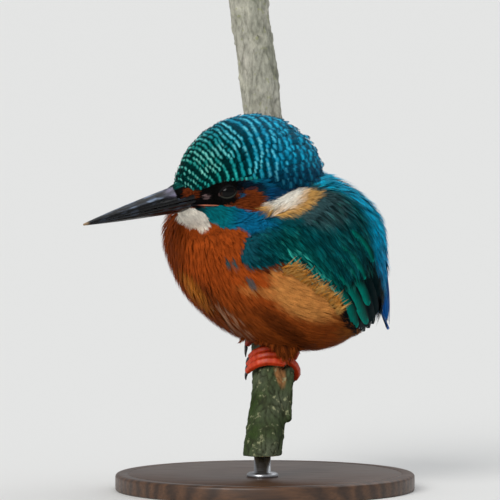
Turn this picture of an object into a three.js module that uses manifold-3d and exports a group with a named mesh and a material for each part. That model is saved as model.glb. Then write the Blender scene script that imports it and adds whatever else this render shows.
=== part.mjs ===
// Common kingfisher (Alcedo atthis), a male in winter fluff, perched on a cut stem over a display stand.
// Life size, in millimetres, +Z up. The bird's trunk faces -Y, so its left side is +X, and its head is
// turned to its left. The origin is the middle of the underside of the stand's base.
import * as THREE from 'three';
import { mergeVertices } from 'three/addons/utils/BufferGeometryUtils.js';
import Module from 'manifold-3d';

const wasm = await Module();
wasm.setup();

// ---------------------------------------------------------------- driving dimensions

const GAP = 0.3; // clearance between neighbouring pieces
const FLATNESS = 0.08; // facets this close to one plane are joined

// Trunk with its feathers: each station joins a point of the belly line to a point of the back line
// (Y, Z of each) and gives half the width there. They run from the vent up to the neck.
const TRUNK_STATIONS = [
  { belly: [30.6, 48.6], back: [33.4, 52.0], half: 4.5 },
  { belly: [26.6, 46.6], back: [35.0, 55.0], half: 11.0 },
  { belly: [19.0, 42.4], back: [35.9, 61.0], half: 17.5 },
  { belly: [7.5, 42.0], back: [36.2, 67.5], half: 23.0 },
  { belly: [-6.0, 44.8], back: [36.4, 73.5], half: 26.0 },
  { belly: [-16.5, 51.6], back: [36.0, 78.5], half: 27.0 },
  { belly: [-24.3, 59.6], back: [34.4, 83.2], half: 26.5 },
  { belly: [-28.7, 68.5], back: [31.4, 87.2], half: 25.0 },
  { belly: [-30.9, 77.0], back: [26.8, 91.2], half: 21.5 },
  { belly: [-28.6, 84.0], back: [20.5, 94.6], half: 17.0 },
  { belly: [-20.0, 89.5], back: [12.0, 97.0], half: 11.0 },
];
const BREAST_FULLNESS = 0.1; // how much wider the belly side of a section is than its back side
const BODY_FACETS = 26; // round a section
const BODY_RINGS = 17; // sections from the vent to the neck

// The plane that parts the neck from the trunk: its tilt towards the back and distance from the origin.
const NECK_CUT = { tilt: 9, distance: 79.5 };

// Head: a ball of raised feathers with a face that narrows to the bill.
const HEAD = {
  centre: [4.0, -4.0, 90.7],
  yaw: 37, // degrees, turned to the bird's left
  pitch: 6.5, // degrees, tipped down
  front: 28.2, // centre to the feathers over the bill
  back: 23.2, // centre to the nape
  half: 18.0,
  crown: 22.2,
  throat: 14.0,
  faceTaper: 0.47, // share of the width lost towards the bill
};

// Folded wings lie on the trunk as a raised plate inside this outline (Y, Z), front edge first.
const WING = {
  plate: 1.8, // how far it stands out from the trunk's side
  backPlate: 0.9, // and from its back
  inner: 4.6, // half the width of the bare stripe down the back
  leading: [[1.0, 84.5], [-3.9, 78.6], [-6.8, 73.6], [-6.0, 69.2]],
  flank: [[-0.9, 67.8], [4.5, 69.0], [10.8, 67.0], [16.0, 62.8], [20.2, 58.4]],
  tips: [[22.2, 54.6], [25.4, 50.4], [29.0, 48.6], [31.8, 50.2], [34.0, 53.0]], // between feather ends
  reach: 40.0, // from the stripe to past the bird's side
  lobe: 1.5, // how far a feather end rounds out past the line of the valleys
  trailing: [[42.0, 58.0], [44.0, 80.0], [34.0, 92.0], [22.0, 90.5], [10.0, 88.5]],
};
const WING_STATIONS = TRUNK_STATIONS.map(({ belly, back, half }, i) => ({
  belly,
  back: [back[0] + WING.backPlate, back[1]],
  half: Math.max(half, 10.5 - i) + WING.plate, // the folded ends stay apart where the trunk draws in
}));

// Tail: a short stiff fan turned slightly to the bird's right.
const TAIL = {
  root: [-0.6, 29.6, 70.5],
  tip: [-8.8, 36.6, 48.6],
  rootHalf: 5.5,
  tipHalf: 9.5,
  rootThick: 2.2,
  tipThick: 0.7,
  rounding: 0.09, // share of the length by which the outer feathers fall short
  cup: 1.2, // how far the outer feathers bend towards the back
};

// Bill: dagger shaped. Its two halves meet in a cutting edge that runs straight to the point.
const BILL = {
  length: 33.8, // along the cutting edge, from the forehead feathers
  pitch: 9.8, // degrees below level
  hidden: 9.0, // run of each half under the face feathers
  edge: [-26.9, 87.9], // Y, Z where the cutting edge leaves the feathers
  upperDepth: 3.95,
  lowerDepth: 2.95,
  halfWidth: 4.3,
  bulge: 0.86, // power of the taper: under 1 keeps the bill stout until near its point
  widest: 1.12, // it widens no further inside the feathers
  point: 0.06, // size of the very tip as a share of the root
  flank: 0.12, // height of the upright strip along the cutting edge, as a share of the depth
};

const EYE = { radius: 3.5, forward: 15.4, side: 8.4, up: 1.7 };

// Perch: a cut length of stem that passes under the feet and sweeps up behind the bird's right side.
const PERCH = {
  path: [
    [16.0, -1.4, 7.0], [14.0, -0.8, 11.6], [9.5, 0.3, 20.0], [5.5, 1.5, 28.5], [1.5, 1.9, 35.6],
    [-5.0, 1.9, 38.9], [-14.0, 1.7, 41.4], [-27.0, 1.4, 47.0], [-37.0, 1.0, 59.5], [-42.5, 0.5, 80.0],
    [-45.5, -0.8, 112.0], [-48.0, -5.8, 152.0],
  ],
  radius: 5.8,
  topExtra: 0.35, // the upper end is this much thicker
  swell: 0.28, // height of the slow swellings of the bark
  waves: [41, 23], // how quickly they follow one another
  cutLevel: 11.6,
  topLevel: 150.0,
  buds: [{ at: 0.89, angle: 100, size: 2.0 }, { at: 0.60, angle: -70, size: 1.6 }],
};
const BARK_FLAP = { from: [6.0, 7.3, 36.5], to: [10.0, 6.6, 22.5], radius: 1.4 };

// Feet: three toes forward over the stem and one back, each bent round the stem's section.
const FOOT = {
  places: { left: 1.5, right: -13.0 }, // X on the perch's middle line where each foot grips
  toeRadius: 1.25,
  toeSpacing: 2.35,
  padAngle: -32, // degrees from straight up, forward counted positive
  frontAngles: [70, 66, 58],
  backAngle: -112,
  clawStart: 2.6, // degrees of bend from a toe's end to its claw, so that they don't touch
  clawReach: 27, // degrees of bend taken by a claw
  clawRadius: 0.72,
  clawPoint: 0.2,
  tarsus: [0, 1.5, 9.0], // run of the shank from the toes' root
  tarsusRadius: 1.3,
};

const STAND = {
  baseRadius: 45,
  baseHeight: 5,
  chamfer: 0.8,
  rodRadius: 2.5,
  rodTop: 20, // level of the rod's upper end, inside the stem
  rodShift: 1.6, // keeps the rod inside the leaning stem
  socket: 2.2, // depth of the rod's hole in the base
};

// ---------------------------------------------------------------- materials

const MATERIALS = {
  crown: [0x1c6f74, 0.7, 0],
  collar: [0xb9834a, 0.8, 0],
  trunk: [0xa04a18, 0.8, 0],
  wing: [0x0c6a70, 0.6, 0],
  tail: [0x0f4f86, 0.6, 0],
  bill: [0x17181b, 0.35, 0],
  eye: [0x0a0706, 0.08, 0],
  foot: [0xd8482a, 0.5, 0],
  claw: [0x1b1d22, 0.35, 0],
  bark: [0x66705a, 0.9, 0],
  wood: [0x3a2a20, 0.5, 0],
  steel: [0x9a9ca0, 0.3, 1],
};

const object = new THREE.Group();

function addMesh(name, solid, materialName) {
  const [color, roughness, metalness] = MATERIALS[materialName];
  const material = new THREE.MeshStandardMaterial({ color, roughness, metalness });
  const mesh = new THREE.Mesh(geometryOf(solid), material);
  mesh.name = name;
  object.add(mesh);
}

// ---------------------------------------------------------------- solids and geometries

function solidOf(geometry) {
  geometry.deleteAttribute('normal');
  geometry.deleteAttribute('uv');
  const merged = mergeVertices(geometry, 1e-4);
  return new wasm.Manifold(new wasm.Mesh({
    numProp: 3,
    vertProperties: new Float32Array(merged.attributes.position.array),
    triVerts: new Uint32Array(merged.index.array),
  }));
}

function geometryOf(solid) {
  const mesh = solid.simplify(FLATNESS).getMesh();
  const geometry = new THREE.BufferGeometry();
  const points = new Float32Array(mesh.numVert * 3);
  for (let i = 0; i < mesh.numVert; i++) {
    for (let k = 0; k < 3; k++) {
      points[3 * i + k] = mesh.vertProperties[mesh.numProp * i + k];
    }
  }
  geometry.setAttribute('position', new THREE.BufferAttribute(points, 3));
  geometry.setIndex(new THREE.BufferAttribute(new Uint32Array(mesh.triVerts), 1));
  geometry.computeVertexNormals();
  return geometry;
}

// Moves every vertex of a unit shape to where place(x, y, z) puts it.
function reshape(geometry, place) {
  const position = geometry.attributes.position;
  for (let i = 0; i < position.count; i++) {
    const point = place(position.getX(i), position.getY(i), position.getZ(i));
    position.setXYZ(i, point.x, point.y, point.z);
  }
  return geometry;
}

// A closed tube whose section at each share t of its length is an oval frame { centre, side, up }.
function sweep(frameAt, radial, steps) {
  const tube = new THREE.CylinderGeometry(1, 1, 1, radial, steps);
  return solidOf(reshape(tube, (x, y, z) => {
    const { centre, side, up } = frameAt(y + 0.5, x, z);
    return centre.clone().addScaledVector(side, x).addScaledVector(up, z);
  }));
}

const vector = (list) => new THREE.Vector3(...list);
const radians = THREE.MathUtils.degToRad;
const { lerp, smoothstep, clamp } = THREE.MathUtils;

// How far the first and the last section of a tube move outwards when it grows.
function endShift(share, grow) {
  if (share === 0) return -grow;
  return share === 1 ? grow : 0;
}

// ---------------------------------------------------------------- trunk, neck and wings

// One feathered body from the vent to the neck; grow moves its surface out by that much.
function bodySolid(stations, grow) {
  const line = (key) => new THREE.CatmullRomCurve3(stations.map((s) => new THREE.Vector3(0, ...s[key])));
  const halfWidths = new THREE.SplineCurve(stations.map((s, i) => new THREE.Vector2(i, s.half)));
  const bellyLine = line('belly');
  const backLine = line('back');
  return sweep((share, x, z) => {
    const belly = bellyLine.getPoint(share);
    const back = backLine.getPoint(share);
    const depth = belly.clone().sub(back).multiplyScalar(0.5);
    const headward = depth.clone().cross(new THREE.Vector3(1, 0, 0)).normalize();
    const half = (halfWidths.getPoint(share).y + grow) * (1 + BREAST_FULLNESS * z);
    return {
      centre: belly.clone().add(back).multiplyScalar(0.5).addScaledVector(headward, endShift(share, grow)),
      side: new THREE.Vector3(half, 0, 0),
      up: depth.setLength(depth.length() + grow),
    };
  }, BODY_FACETS, BODY_RINGS);
}

function wingOutline() {
  const shape = new THREE.Shape();
  const point = ([y, z]) => new THREE.Vector2(y, z);
  const [start, ...edge] = [...WING.leading, ...WING.flank].map(point);
  shape.moveTo(start.x, start.y);
  shape.splineThru(edge);
  const valleys = [WING.flank.at(-1), ...WING.tips].map(point);
  for (let i = 1; i < valleys.length; i++) {
    const middle = valleys[i - 1].clone().add(valleys[i]).multiplyScalar(0.5);
    const along = valleys[i].clone().sub(valleys[i - 1]).normalize();
    const control = middle.add(new THREE.Vector2(along.y, -along.x).multiplyScalar(2 * WING.lobe));
    shape.quadraticCurveTo(control.x, control.y, valleys[i].x, valleys[i].y);
  }
  WING.trailing.map(point).forEach((p) => shape.lineTo(p.x, p.y));
  shape.closePath();
  return shape;
}

// The outline's prism on one side of the bird, from the back stripe outwards.
function wingPrism(side) {
  const depth = WING.reach;
  const prism = new THREE.ExtrudeGeometry(wingOutline(), { depth, bevelEnabled: false, curveSegments: 3 });
  // the outline's X and Y become the row's Y and Z, and its depth becomes the row's X
  const turn = new THREE.Matrix4().makeBasis(
    new THREE.Vector3(0, 1, 0), new THREE.Vector3(0, 0, 1), new THREE.Vector3(1, 0, 0));
  prism.applyMatrix4(turn);
  const start = side > 0 ? WING.inner : -WING.inner - depth;
  prism.translate(start, 0, 0);
  return solidOf(prism);
}

// ---------------------------------------------------------------- head, eyes and bill

const headTurn = new THREE.Matrix4()
  .makeRotationZ(radians(HEAD.yaw))
  .multiply(new THREE.Matrix4().makeRotationX(radians(HEAD.pitch)));

// A point given by its way forward, to the bird's left and up from the head's centre.
function headPoint(forward, left, up) {
  return new THREE.Vector3(left, -forward, up).applyMatrix4(headTurn).add(vector(HEAD.centre));
}

function headSolid(grow) {
  const ball = new THREE.SphereGeometry(1, 24, 14);
  return solidOf(reshape(ball, (x, y, z) => {
    const taper = 1 - HEAD.faceTaper * smoothstep(y, 0, 1);
    const forward = y * ((y > 0 ? HEAD.front : HEAD.back) + grow);
    const left = -x * (HEAD.half + grow) * taper;
    const up = z * ((z > 0 ? HEAD.crown : HEAD.throat) + grow);
    return headPoint(forward, left, up);
  }));
}

function eyeSolid(side, grow) {
  const eye = new THREE.SphereGeometry(EYE.radius + grow, 14, 9);
  const centre = headPoint(EYE.forward, side * EYE.side, EYE.up);
  return solidOf(eye.translate(centre.x, centre.y, centre.z));
}

// Half of the bill: 'upper' lies above the cutting edge and 'lower' below it.
function billSolid(half) {
  const yaw = radians(HEAD.yaw);
  const pitch = radians(BILL.pitch);
  const forward = new THREE.Vector3(
    Math.sin(yaw) * Math.cos(pitch), -Math.cos(yaw) * Math.cos(pitch), -Math.sin(pitch));
  const left = new THREE.Vector3(Math.cos(yaw), Math.sin(yaw), 0);
  const up = new THREE.Vector3().crossVectors(forward, left);
  const reach = (HEAD.centre[1] - BILL.edge[0]) / Math.cos(yaw);
  const start = new THREE.Vector3(HEAD.centre[0] + Math.sin(yaw) * reach, ...BILL.edge);
  const isUpper = half === 'upper';
  const depth = isUpper ? BILL.upperDepth : BILL.lowerDepth;
  return sweep((share, x, z) => {
    const run = lerp(-BILL.hidden, BILL.length, share);
    const toTip = clamp(1 - run / BILL.length, 0, BILL.widest);
    const size = lerp(BILL.point, 1, Math.pow(toTip, BILL.bulge));
    const edge = start.clone().addScaledVector(forward, run);
    const flat = isUpper ? Math.max(z, -BILL.flank) : Math.min(z, BILL.flank);
    const inset = (isUpper ? 1 : -1) * (GAP / 2 + BILL.flank * depth * size);
    return {
      centre: edge.addScaledVector(up, inset + (flat - z) * depth * size),
      side: left.clone().multiplyScalar(-BILL.halfWidth * size),
      up: up.clone().multiplyScalar(depth * size),
    };
  }, 12, 9);
}

// ---------------------------------------------------------------- tail

function tailSolid(grow) {
  const root = vector(TAIL.root);
  const axis = vector(TAIL.tip).sub(root);
  const across = new THREE.Vector3(1, 0, 0).addScaledVector(axis, -axis.x / axis.lengthSq()).normalize();
  const face = new THREE.Vector3().crossVectors(across, axis).normalize();
  return sweep((share, x) => {
    const roundEnd = share === 1 ? 0.55 : 1;
    const half = lerp(TAIL.rootHalf, TAIL.tipHalf, share) * roundEnd + grow;
    const thick = lerp(TAIL.rootThick, TAIL.tipThick, share) + grow;
    const tuck = share === 1 ? 1 : 1 - TAIL.rounding * share * x * x;
    const cup = TAIL.cup * x * x * share;
    return {
      centre: root.clone().addScaledVector(axis, share * tuck).addScaledVector(face, cup),
      side: across.clone().multiplyScalar(half),
      up: face.clone().multiplyScalar(thick),
    };
  }, 16, 8);
}

// ---------------------------------------------------------------- perch

// The perch's middle line.
const perchCurve = new THREE.CatmullRomCurve3(PERCH.path.map(vector), false, 'centripetal');

// Directions at a share of the perch's length: along it, towards the bird's front, and away from both.
function perchFrame(share) {
  const along = perchCurve.getTangentAt(share);
  const front = new THREE.Vector3(0, -1, 0).addScaledVector(along, along.y).normalize();
  const up = new THREE.Vector3().crossVectors(along, front).normalize();
  return { centre: perchCurve.getPointAt(share), along, front, up };
}

// The share of the perch's length at which its middle line is at a given X.
function shareAtX(x) {
  let [low, high] = [0, 1];
  for (let i = 0; i < 30; i++) {
    const middle = (low + high) / 2;
    [low, high] = perchCurve.getPointAt(middle).x > x ? [middle, high] : [low, middle];
  }
  return low;
}

function perchRadius(share, angle) {
  const [quick, slow] = PERCH.waves.map((wave) => wave * share);
  const waves = Math.sin(quick + 2 * Math.sin(angle)) + Math.sin(slow - 3 * angle);
  return PERCH.radius + 0.5 * PERCH.swell * waves + PERCH.topExtra * smoothstep(share, 0.5, 1);
}

function perchSolid(grow) {
  return sweep((share, x, z) => {
    const { centre, front, up } = perchFrame(share);
    const radius = perchRadius(share, Math.atan2(z, x)) + grow;
    return { centre, side: front.clone().multiplyScalar(radius), up: up.clone().multiplyScalar(-radius) };
  }, 10, 34);
}

function budSolid({ at, angle, size }) {
  const { centre, along, front, up } = perchFrame(at);
  const out = front.clone().multiplyScalar(Math.cos(radians(angle)))
    .addScaledVector(up, Math.sin(radians(angle)));
  const place = centre.addScaledVector(out, PERCH.radius);
  const bud = new THREE.ConeGeometry(size, 4 * size, 8, 2);
  const lean = out.addScaledVector(along, 0.9).normalize();
  bud.applyQuaternion(new THREE.Quaternion().setFromUnitVectors(new THREE.Vector3(0, 1, 0), lean));
  return solidOf(bud.translate(place.x, place.y, place.z));
}

function barkFlapSolid() {
  const from = vector(BARK_FLAP.from);
  const to = vector(BARK_FLAP.to);
  const axis = to.clone().sub(from);
  const flap = new THREE.CapsuleGeometry(BARK_FLAP.radius, axis.length(), 3, 8, 3);
  const turn = new THREE.Quaternion().setFromUnitVectors(new THREE.Vector3(0, 1, 0), axis.normalize());
  flap.applyQuaternion(turn);
  const middle = from.add(to).multiplyScalar(0.5);
  return solidOf(flap.translate(middle.x, middle.y, middle.z));
}

// ---------------------------------------------------------------- legs, feet and claws

// A point over the perch at a foot: degrees from straight up, height over the bark, shift along the perch.
function gripPoint(share, degrees, height, shift) {
  const { centre, along, front, up } = perchFrame(share);
  const upward = up.z < 0 ? up.negate() : up;
  const sideways = along.clone().multiplyScalar(along.x > 0 ? shift : -shift);
  const radius = PERCH.radius + PERCH.swell + GAP + height;
  return centre.clone().add(sideways)
    .addScaledVector(upward, radius * Math.cos(radians(degrees)))
    .addScaledVector(front, radius * Math.sin(radians(degrees)));
}

// A tapering digit bent round the perch between two angles.
function digitSolid(grip, fromDegrees, toDegrees, shift, startRadius, endRadius, grow) {
  const sense = Math.sign(toDegrees - fromDegrees);
  const across = gripPoint(grip, 0, 0, 1).sub(gripPoint(grip, 0, 0, 0)).normalize();
  return sweep((share) => {
    const degrees = lerp(fromDegrees, toDegrees, share);
    const centre = gripPoint(grip, degrees, FOOT.toeRadius, shift);
    const outward = centre.clone().sub(gripPoint(grip, degrees, -FOOT.toeRadius, shift)).normalize();
    const roundEnd = share === 0 || share === 1 ? 0.7 : 1;
    const radius = lerp(startRadius, endRadius, share) * roundEnd + grow;
    return {
      centre,
      side: across.clone().multiplyScalar(-sense * radius),
      up: outward.multiplyScalar(radius),
    };
  }, 6, 5);
}

const TOES = [
  ...FOOT.frontAngles.map((end, i) => ({ name: `front_${i + 1}`, end, shift: (1 - i) * FOOT.toeSpacing })),
  { name: 'back', end: FOOT.backAngle, shift: 0 },
];

function toeSolid(grip, { end, shift }, grow) {
  return digitSolid(grip, FOOT.padAngle, end, shift, FOOT.toeRadius, 0.85 * FOOT.toeRadius, grow);
}

function clawSolid(grip, { end, shift }) {
  const sense = Math.sign(end - FOOT.padAngle);
  const start = end + sense * FOOT.clawStart;
  return digitSolid(grip, start, start + sense * FOOT.clawReach, shift, FOOT.clawRadius, FOOT.clawPoint, 0);
}

function padSolid(grip, grow) {
  const pad = new THREE.SphereGeometry(1, 10, 6);
  const centre = gripPoint(grip, FOOT.padAngle, FOOT.toeRadius, 0);
  const size = [FOOT.toeSpacing + FOOT.toeRadius + grow, FOOT.toeRadius * 1.3 + grow, FOOT.toeRadius + grow];
  pad.scale(...size).translate(centre.x, centre.y, centre.z);
  return solidOf(pad);
}

function footSolid(grip, grow) {
  return TOES.reduce((foot, toe) => foot.add(toeSolid(grip, toe, grow)), padSolid(grip, grow))
    .subtract(perchCore);
}

function legSolid(grip, grow) {
  const ankle = gripPoint(grip, FOOT.padAngle, FOOT.toeRadius, 0);
  const top = ankle.clone().add(vector(FOOT.tarsus));
  const axis = top.clone().sub(ankle);
  const leg = new THREE.CylinderGeometry(FOOT.tarsusRadius + grow, FOOT.tarsusRadius + grow,
    axis.length() + 2 * grow, 10, 2);
  const turn = new THREE.Quaternion().setFromUnitVectors(new THREE.Vector3(0, 1, 0), axis.normalize());
  const middle = ankle.add(top).multiplyScalar(0.5);
  leg.applyQuaternion(turn).translate(middle.x, middle.y, middle.z);
  return solidOf(leg);
}

// ---------------------------------------------------------------- stand

function standBaseSolid() {
  const { baseRadius: r, baseHeight: h, chamfer: c } = STAND;
  const profile = [[0, 0], [r - c, 0], [r, c], [r, h - c], [r - c, h], [0, h]];
  const disc = new THREE.LatheGeometry(profile.map(([x, y]) => new THREE.Vector2(x, y)), 40);
  return solidOf(disc.rotateX(Math.PI / 2));
}

function rodSolid(grow) {
  const bottom = STAND.baseHeight - STAND.socket - grow;
  const length = STAND.rodTop + grow - bottom;
  const radius = STAND.rodRadius + grow;
  const rod = new THREE.CylinderGeometry(radius, radius, length, 24);
  const foot = vector(PERCH.path[1]);
  return solidOf(rod.rotateX(Math.PI / 2).translate(foot.x - STAND.rodShift, foot.y, bottom + length / 2));
}

// ---------------------------------------------------------------- assembly

const perchCore = perchSolid(GAP);
const head = headSolid(0);
const headRoom = headSolid(GAP);
const tail = tailSolid(0);
const tailRoom = tailSolid(GAP);
const grips = Object.entries(FOOT.places).map(([side, x]) => [side, shareAtX(x)]);

// what the feathers close round: the perch, the feet and the legs
const feetRoom = grips.reduce((room, [, grip]) => {
  const claws = TOES.reduce((all, toe) => all.add(clawSolid(grip, toe)), legSolid(grip, GAP));
  return room.add(footSolid(grip, GAP)).add(claws);
}, perchCore);

const body = bodySolid(TRUNK_STATIONS, 0);
const bodyParts = body.subtract(headRoom).subtract(feetRoom).subtract(tailRoom);
const neckNormal = new THREE.Vector3(0, 0, 1).applyAxisAngle(
  new THREE.Vector3(1, 0, 0), radians(NECK_CUT.tilt));
const trunk = bodyParts.trimByPlane(neckNormal.clone().negate().toArray(), -NECK_CUT.distance);
const neck = bodyParts.trimByPlane(neckNormal.toArray(), NECK_CUT.distance + GAP);

const wingForm = bodySolid(WING_STATIONS, 0);
const wingRoom = bodySolid(TRUNK_STATIONS, GAP).add(headRoom).add(tailRoom).add(perchCore);
const wings = [['left', 1], ['right', -1]].map(([name, side]) => {
  return [name, wingForm.intersect(wingPrism(side)).subtract(wingRoom)];
});

addMesh('trunk', trunk, 'trunk');
addMesh('neck', neck, 'collar');
addMesh('head', head.subtract(eyeSolid(1, GAP)).subtract(eyeSolid(-1, GAP)), 'crown');
wings.forEach(([name, wing]) => addMesh(`wing_${name}`, wing, 'wing'));
addMesh('tail', tail, 'tail');
[['left', 1], ['right', -1]].forEach(([name, side]) => addMesh(`eye_${name}`, eyeSolid(side, 0), 'eye'));
['upper', 'lower'].forEach((half) => {
  addMesh(`bill_${half}`, billSolid(half).subtract(headRoom), 'bill');
});
grips.forEach(([side, grip]) => {
  const foot = footSolid(grip, 0);
  addMesh(`foot_${side}`, foot, 'foot');
  addMesh(`leg_${side}`, legSolid(grip, 0).subtract(footSolid(grip, GAP)), 'foot');
  TOES.forEach((toe) => addMesh(`claw_${side}_${toe.name}`, clawSolid(grip, toe), 'claw'));
});

const perch = [...PERCH.buds.map(budSolid), barkFlapSolid()]
  .reduce((stem, extra) => stem.add(extra), perchSolid(0))
  .trimByPlane([0, 0, 1], PERCH.cutLevel)
  .trimByPlane([0, 0, -1], -PERCH.topLevel)
  .subtract(rodSolid(GAP));
addMesh('perch_branch', perch, 'bark');
addMesh('stand_base', standBaseSolid().subtract(rodSolid(GAP)), 'wood');
addMesh('stand_rod', rodSolid(0), 'steel');

export default object;
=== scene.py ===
# Common kingfisher (Alcedo atthis), a male in winter fluff, perched on a cut stem over a display stand.
# The bird faces -Y with its head turned to its left, which is +X. Shapes are worked out in millimetres
# and turned to metres as each mesh is made.
import math

import bpy
import numpy as np
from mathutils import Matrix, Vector, noise
from mathutils.bvhtree import BVHTree


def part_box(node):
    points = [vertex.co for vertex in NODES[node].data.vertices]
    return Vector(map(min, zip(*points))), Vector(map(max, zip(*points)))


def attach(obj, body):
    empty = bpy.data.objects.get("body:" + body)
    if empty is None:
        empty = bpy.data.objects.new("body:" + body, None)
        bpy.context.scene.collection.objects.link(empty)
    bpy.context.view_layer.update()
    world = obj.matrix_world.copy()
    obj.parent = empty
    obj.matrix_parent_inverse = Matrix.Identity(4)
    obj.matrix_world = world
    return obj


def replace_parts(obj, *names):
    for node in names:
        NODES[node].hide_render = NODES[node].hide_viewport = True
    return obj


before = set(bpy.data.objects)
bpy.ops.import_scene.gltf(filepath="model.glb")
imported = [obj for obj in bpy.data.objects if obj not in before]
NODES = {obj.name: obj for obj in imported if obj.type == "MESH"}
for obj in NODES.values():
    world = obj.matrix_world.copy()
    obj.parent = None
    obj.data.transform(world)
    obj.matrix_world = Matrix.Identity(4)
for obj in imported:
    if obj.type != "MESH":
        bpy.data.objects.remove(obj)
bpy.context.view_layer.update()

MM = 0.001
SEED = 7

# ---------------------------------------------------------------- driving dimensions, as in part.mjs

HEAD = {
    "centre": (4.0, -4.0, 90.7),
    "yaw": 37.0,
    "pitch": 6.5,
    "front": 28.2,
    "back": 23.2,
    "half": 18.0,
    "crown": 22.2,
    "throat": 14.0,
    "face_taper": 0.47,
}
BILL = {
    "length": 33.8,
    "pitch": 9.8,
    "hidden": 9.0,
    "edge": (-26.9, 87.9),
    "upper_depth": 3.95,
    "lower_depth": 2.95,
    "half_width": 4.3,
    "bulge": 0.86,
    "widest": 1.12,
    "point": 0.06,
    "flank": 0.12,
}
EYE = {"radius": 3.5, "forward": 15.4, "side": 8.4, "up": 1.7}
TAIL = {"root": (-0.6, 29.6, 70.5), "tip": (-8.8, 36.6, 48.6), "root_half": 5.5, "tip_half": 9.5}
STAND = {"base_radius": 45.0, "base_height": 5.0, "rod_radius": 2.5}
BILL_GAPE = 0.3  # between the halves of the bill

SIDES = {1: "left", -1: "right"}

# ---------------------------------------------------------------- small helpers


def unit(v):
    return v / np.maximum(np.linalg.norm(v, axis=-1, keepdims=True), 1e-9)


def in_plane(v, normal):
    """The part of v that lies in the plane facing normal."""
    return v - (v * normal).sum(-1, keepdims=True) * normal


def ease(x, low, high):
    """0 at low, 1 at high, smooth between them; low may be above high."""
    share = np.clip((x - low) / (high - low), 0, 1)
    return share * share * (3 - 2 * share)


def mix(a, b, share):
    """a where share is 0 and b where it is 1; share has one number for each row of a and b."""
    share = np.asarray(share)[..., None]
    return a * (1 - share) + b * share


def past(value, at, edge):
    """How far value lies beyond an edge, a table of its places against at."""
    return value - np.interp(at, *edge)


def srgb(*levels):
    """A colour given as eight-bit display levels, as linear light."""
    x = np.array(levels, float) / 255
    return np.where(x <= 0.04045, x / 12.92, ((x + 0.055) / 1.055) ** 2.4)


def sway(points, size, seed):
    """Smooth noise from about -1 to 1 at each point, with lumps of that size."""
    offset = 37.0 * seed
    values = [noise.noise(Vector((x / size + offset, y / size, z / size))) for x, y, z in points]
    return 1.6 * np.array(values)


def turn_axes(yaw, pitch):
    """Forward, left and up for something turned left by yaw and tipped down by pitch, in degrees."""
    yaw, pitch = math.radians(yaw), math.radians(pitch)
    forward = np.array([
        math.sin(yaw) * math.cos(pitch), -math.cos(yaw) * math.cos(pitch), -math.sin(pitch)])
    left = np.array([math.cos(yaw), math.sin(yaw), 0.0])
    return forward, left, np.cross(forward, left)


HEAD_CENTRE = np.array(HEAD["centre"])
FORWARD, LEFT, UP = turn_axes(HEAD["yaw"], HEAD["pitch"])


def head_point(forward, left, up):
    """A point by its distances from the head's centre along the head's own axes."""
    return HEAD_CENTRE + forward * FORWARD + left * LEFT + up * UP


def head_ways(polar, around):
    """Directions from the head's centre, from head angles in radians."""
    return np.cos(polar)[:, None] * FORWARD + np.sin(polar)[:, None] * (
        np.sin(around)[:, None] * LEFT + np.cos(around)[:, None] * UP)


def new_object(mesh):
    piece = bpy.data.objects.new(mesh.name, mesh)
    bpy.context.scene.collection.objects.link(piece)
    return piece


def make_mesh(name, points, faces, tint=None, bake=None, maps=None, facing=None):
    """A mesh from millimetre points and equal-sided faces, with vertex colours and UV maps."""
    mesh = bpy.data.meshes.new(name)
    corners = faces.shape[1]
    mesh.vertices.add(len(points))
    mesh.vertices.foreach_set("co", (np.asarray(points) * MM).astype(np.float32).ravel())
    mesh.loops.add(faces.size)
    mesh.loops.foreach_set("vertex_index", faces.astype(np.int32).ravel())
    mesh.polygons.add(len(faces))
    mesh.polygons.foreach_set("loop_start", np.arange(len(faces), dtype=np.int32) * corners)
    mesh.update(calc_edges=True)
    mesh.validate()
    mesh.shade_smooth()
    if tint is not None:
        paint(mesh, tint)
    maps = dict(maps or {})
    if bake is not None:
        maps["OFBake"] = bake
    for map_name, at in maps.items():
        layer = mesh.uv_layers.new(name=map_name, do_init=False)
        layer.uv.foreach_set("vector", at[faces.ravel()].astype(np.float32).ravel())
    if facing is not None:
        mesh.normals_split_custom_set_from_vertices(facing.astype(np.float32))
    return mesh


def paint(mesh, tint):
    """Gives a mesh its vertex colours."""
    layer = mesh.color_attributes.new("tint", "FLOAT_COLOR", "POINT")
    colours = np.concatenate([np.clip(tint, 0, 1), np.ones((len(tint), 1))], 1)
    layer.data.foreach_set("color", colours.astype(np.float32).ravel())


def mesh_points(mesh):
    """A mesh's points in millimetres."""
    points = np.empty(len(mesh.vertices) * 3, np.float32)
    mesh.vertices.foreach_get("co", points)
    return points.reshape(-1, 3).astype(float) / MM


def mesh_triangles(mesh):
    mesh.calc_loop_triangles()
    return np.array([t.vertices[:] for t in mesh.loop_triangles])


def face_normals(corners):
    """The normal of each triangle, as long as twice its area."""
    return np.cross(corners[:, 1] - corners[:, 0], corners[:, 2] - corners[:, 0])


def mesh_normals(mesh):
    normals = np.empty(len(mesh.vertices) * 3, np.float32)
    mesh.vertex_normals.foreach_get("vector", normals)
    return normals.reshape(-1, 3).astype(float)


def move_points(mesh, points):
    mesh.vertices.foreach_set("co", (points * MM).astype(np.float32).ravel())
    mesh.update()


def finish_piece(piece, material, slot, *nodes):
    """Gives a piece its material, its body and the CAD nodes that it stands in for. slot is not used."""
    piece.data.materials.clear()
    piece.data.materials.append(material)
    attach(piece, "root")
    if nodes:
        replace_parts(piece, *nodes)
    return piece


# ---------------------------------------------------------------- meshes made from the CAD nodes


def welded(node):
    """A node's points and triangles, with the points that share a place made one."""
    mesh = NODES[node].data
    points, triangles = mesh_points(mesh), mesh_triangles(mesh)
    _, place, joined = np.unique(np.round(points, 3), axis=0, return_index=True, return_inverse=True)
    triangles = joined.reshape(-1)[triangles]
    a, b, c = triangles.T
    return points[place], triangles[(a != b) & (b != c) & (a != c)]


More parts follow.
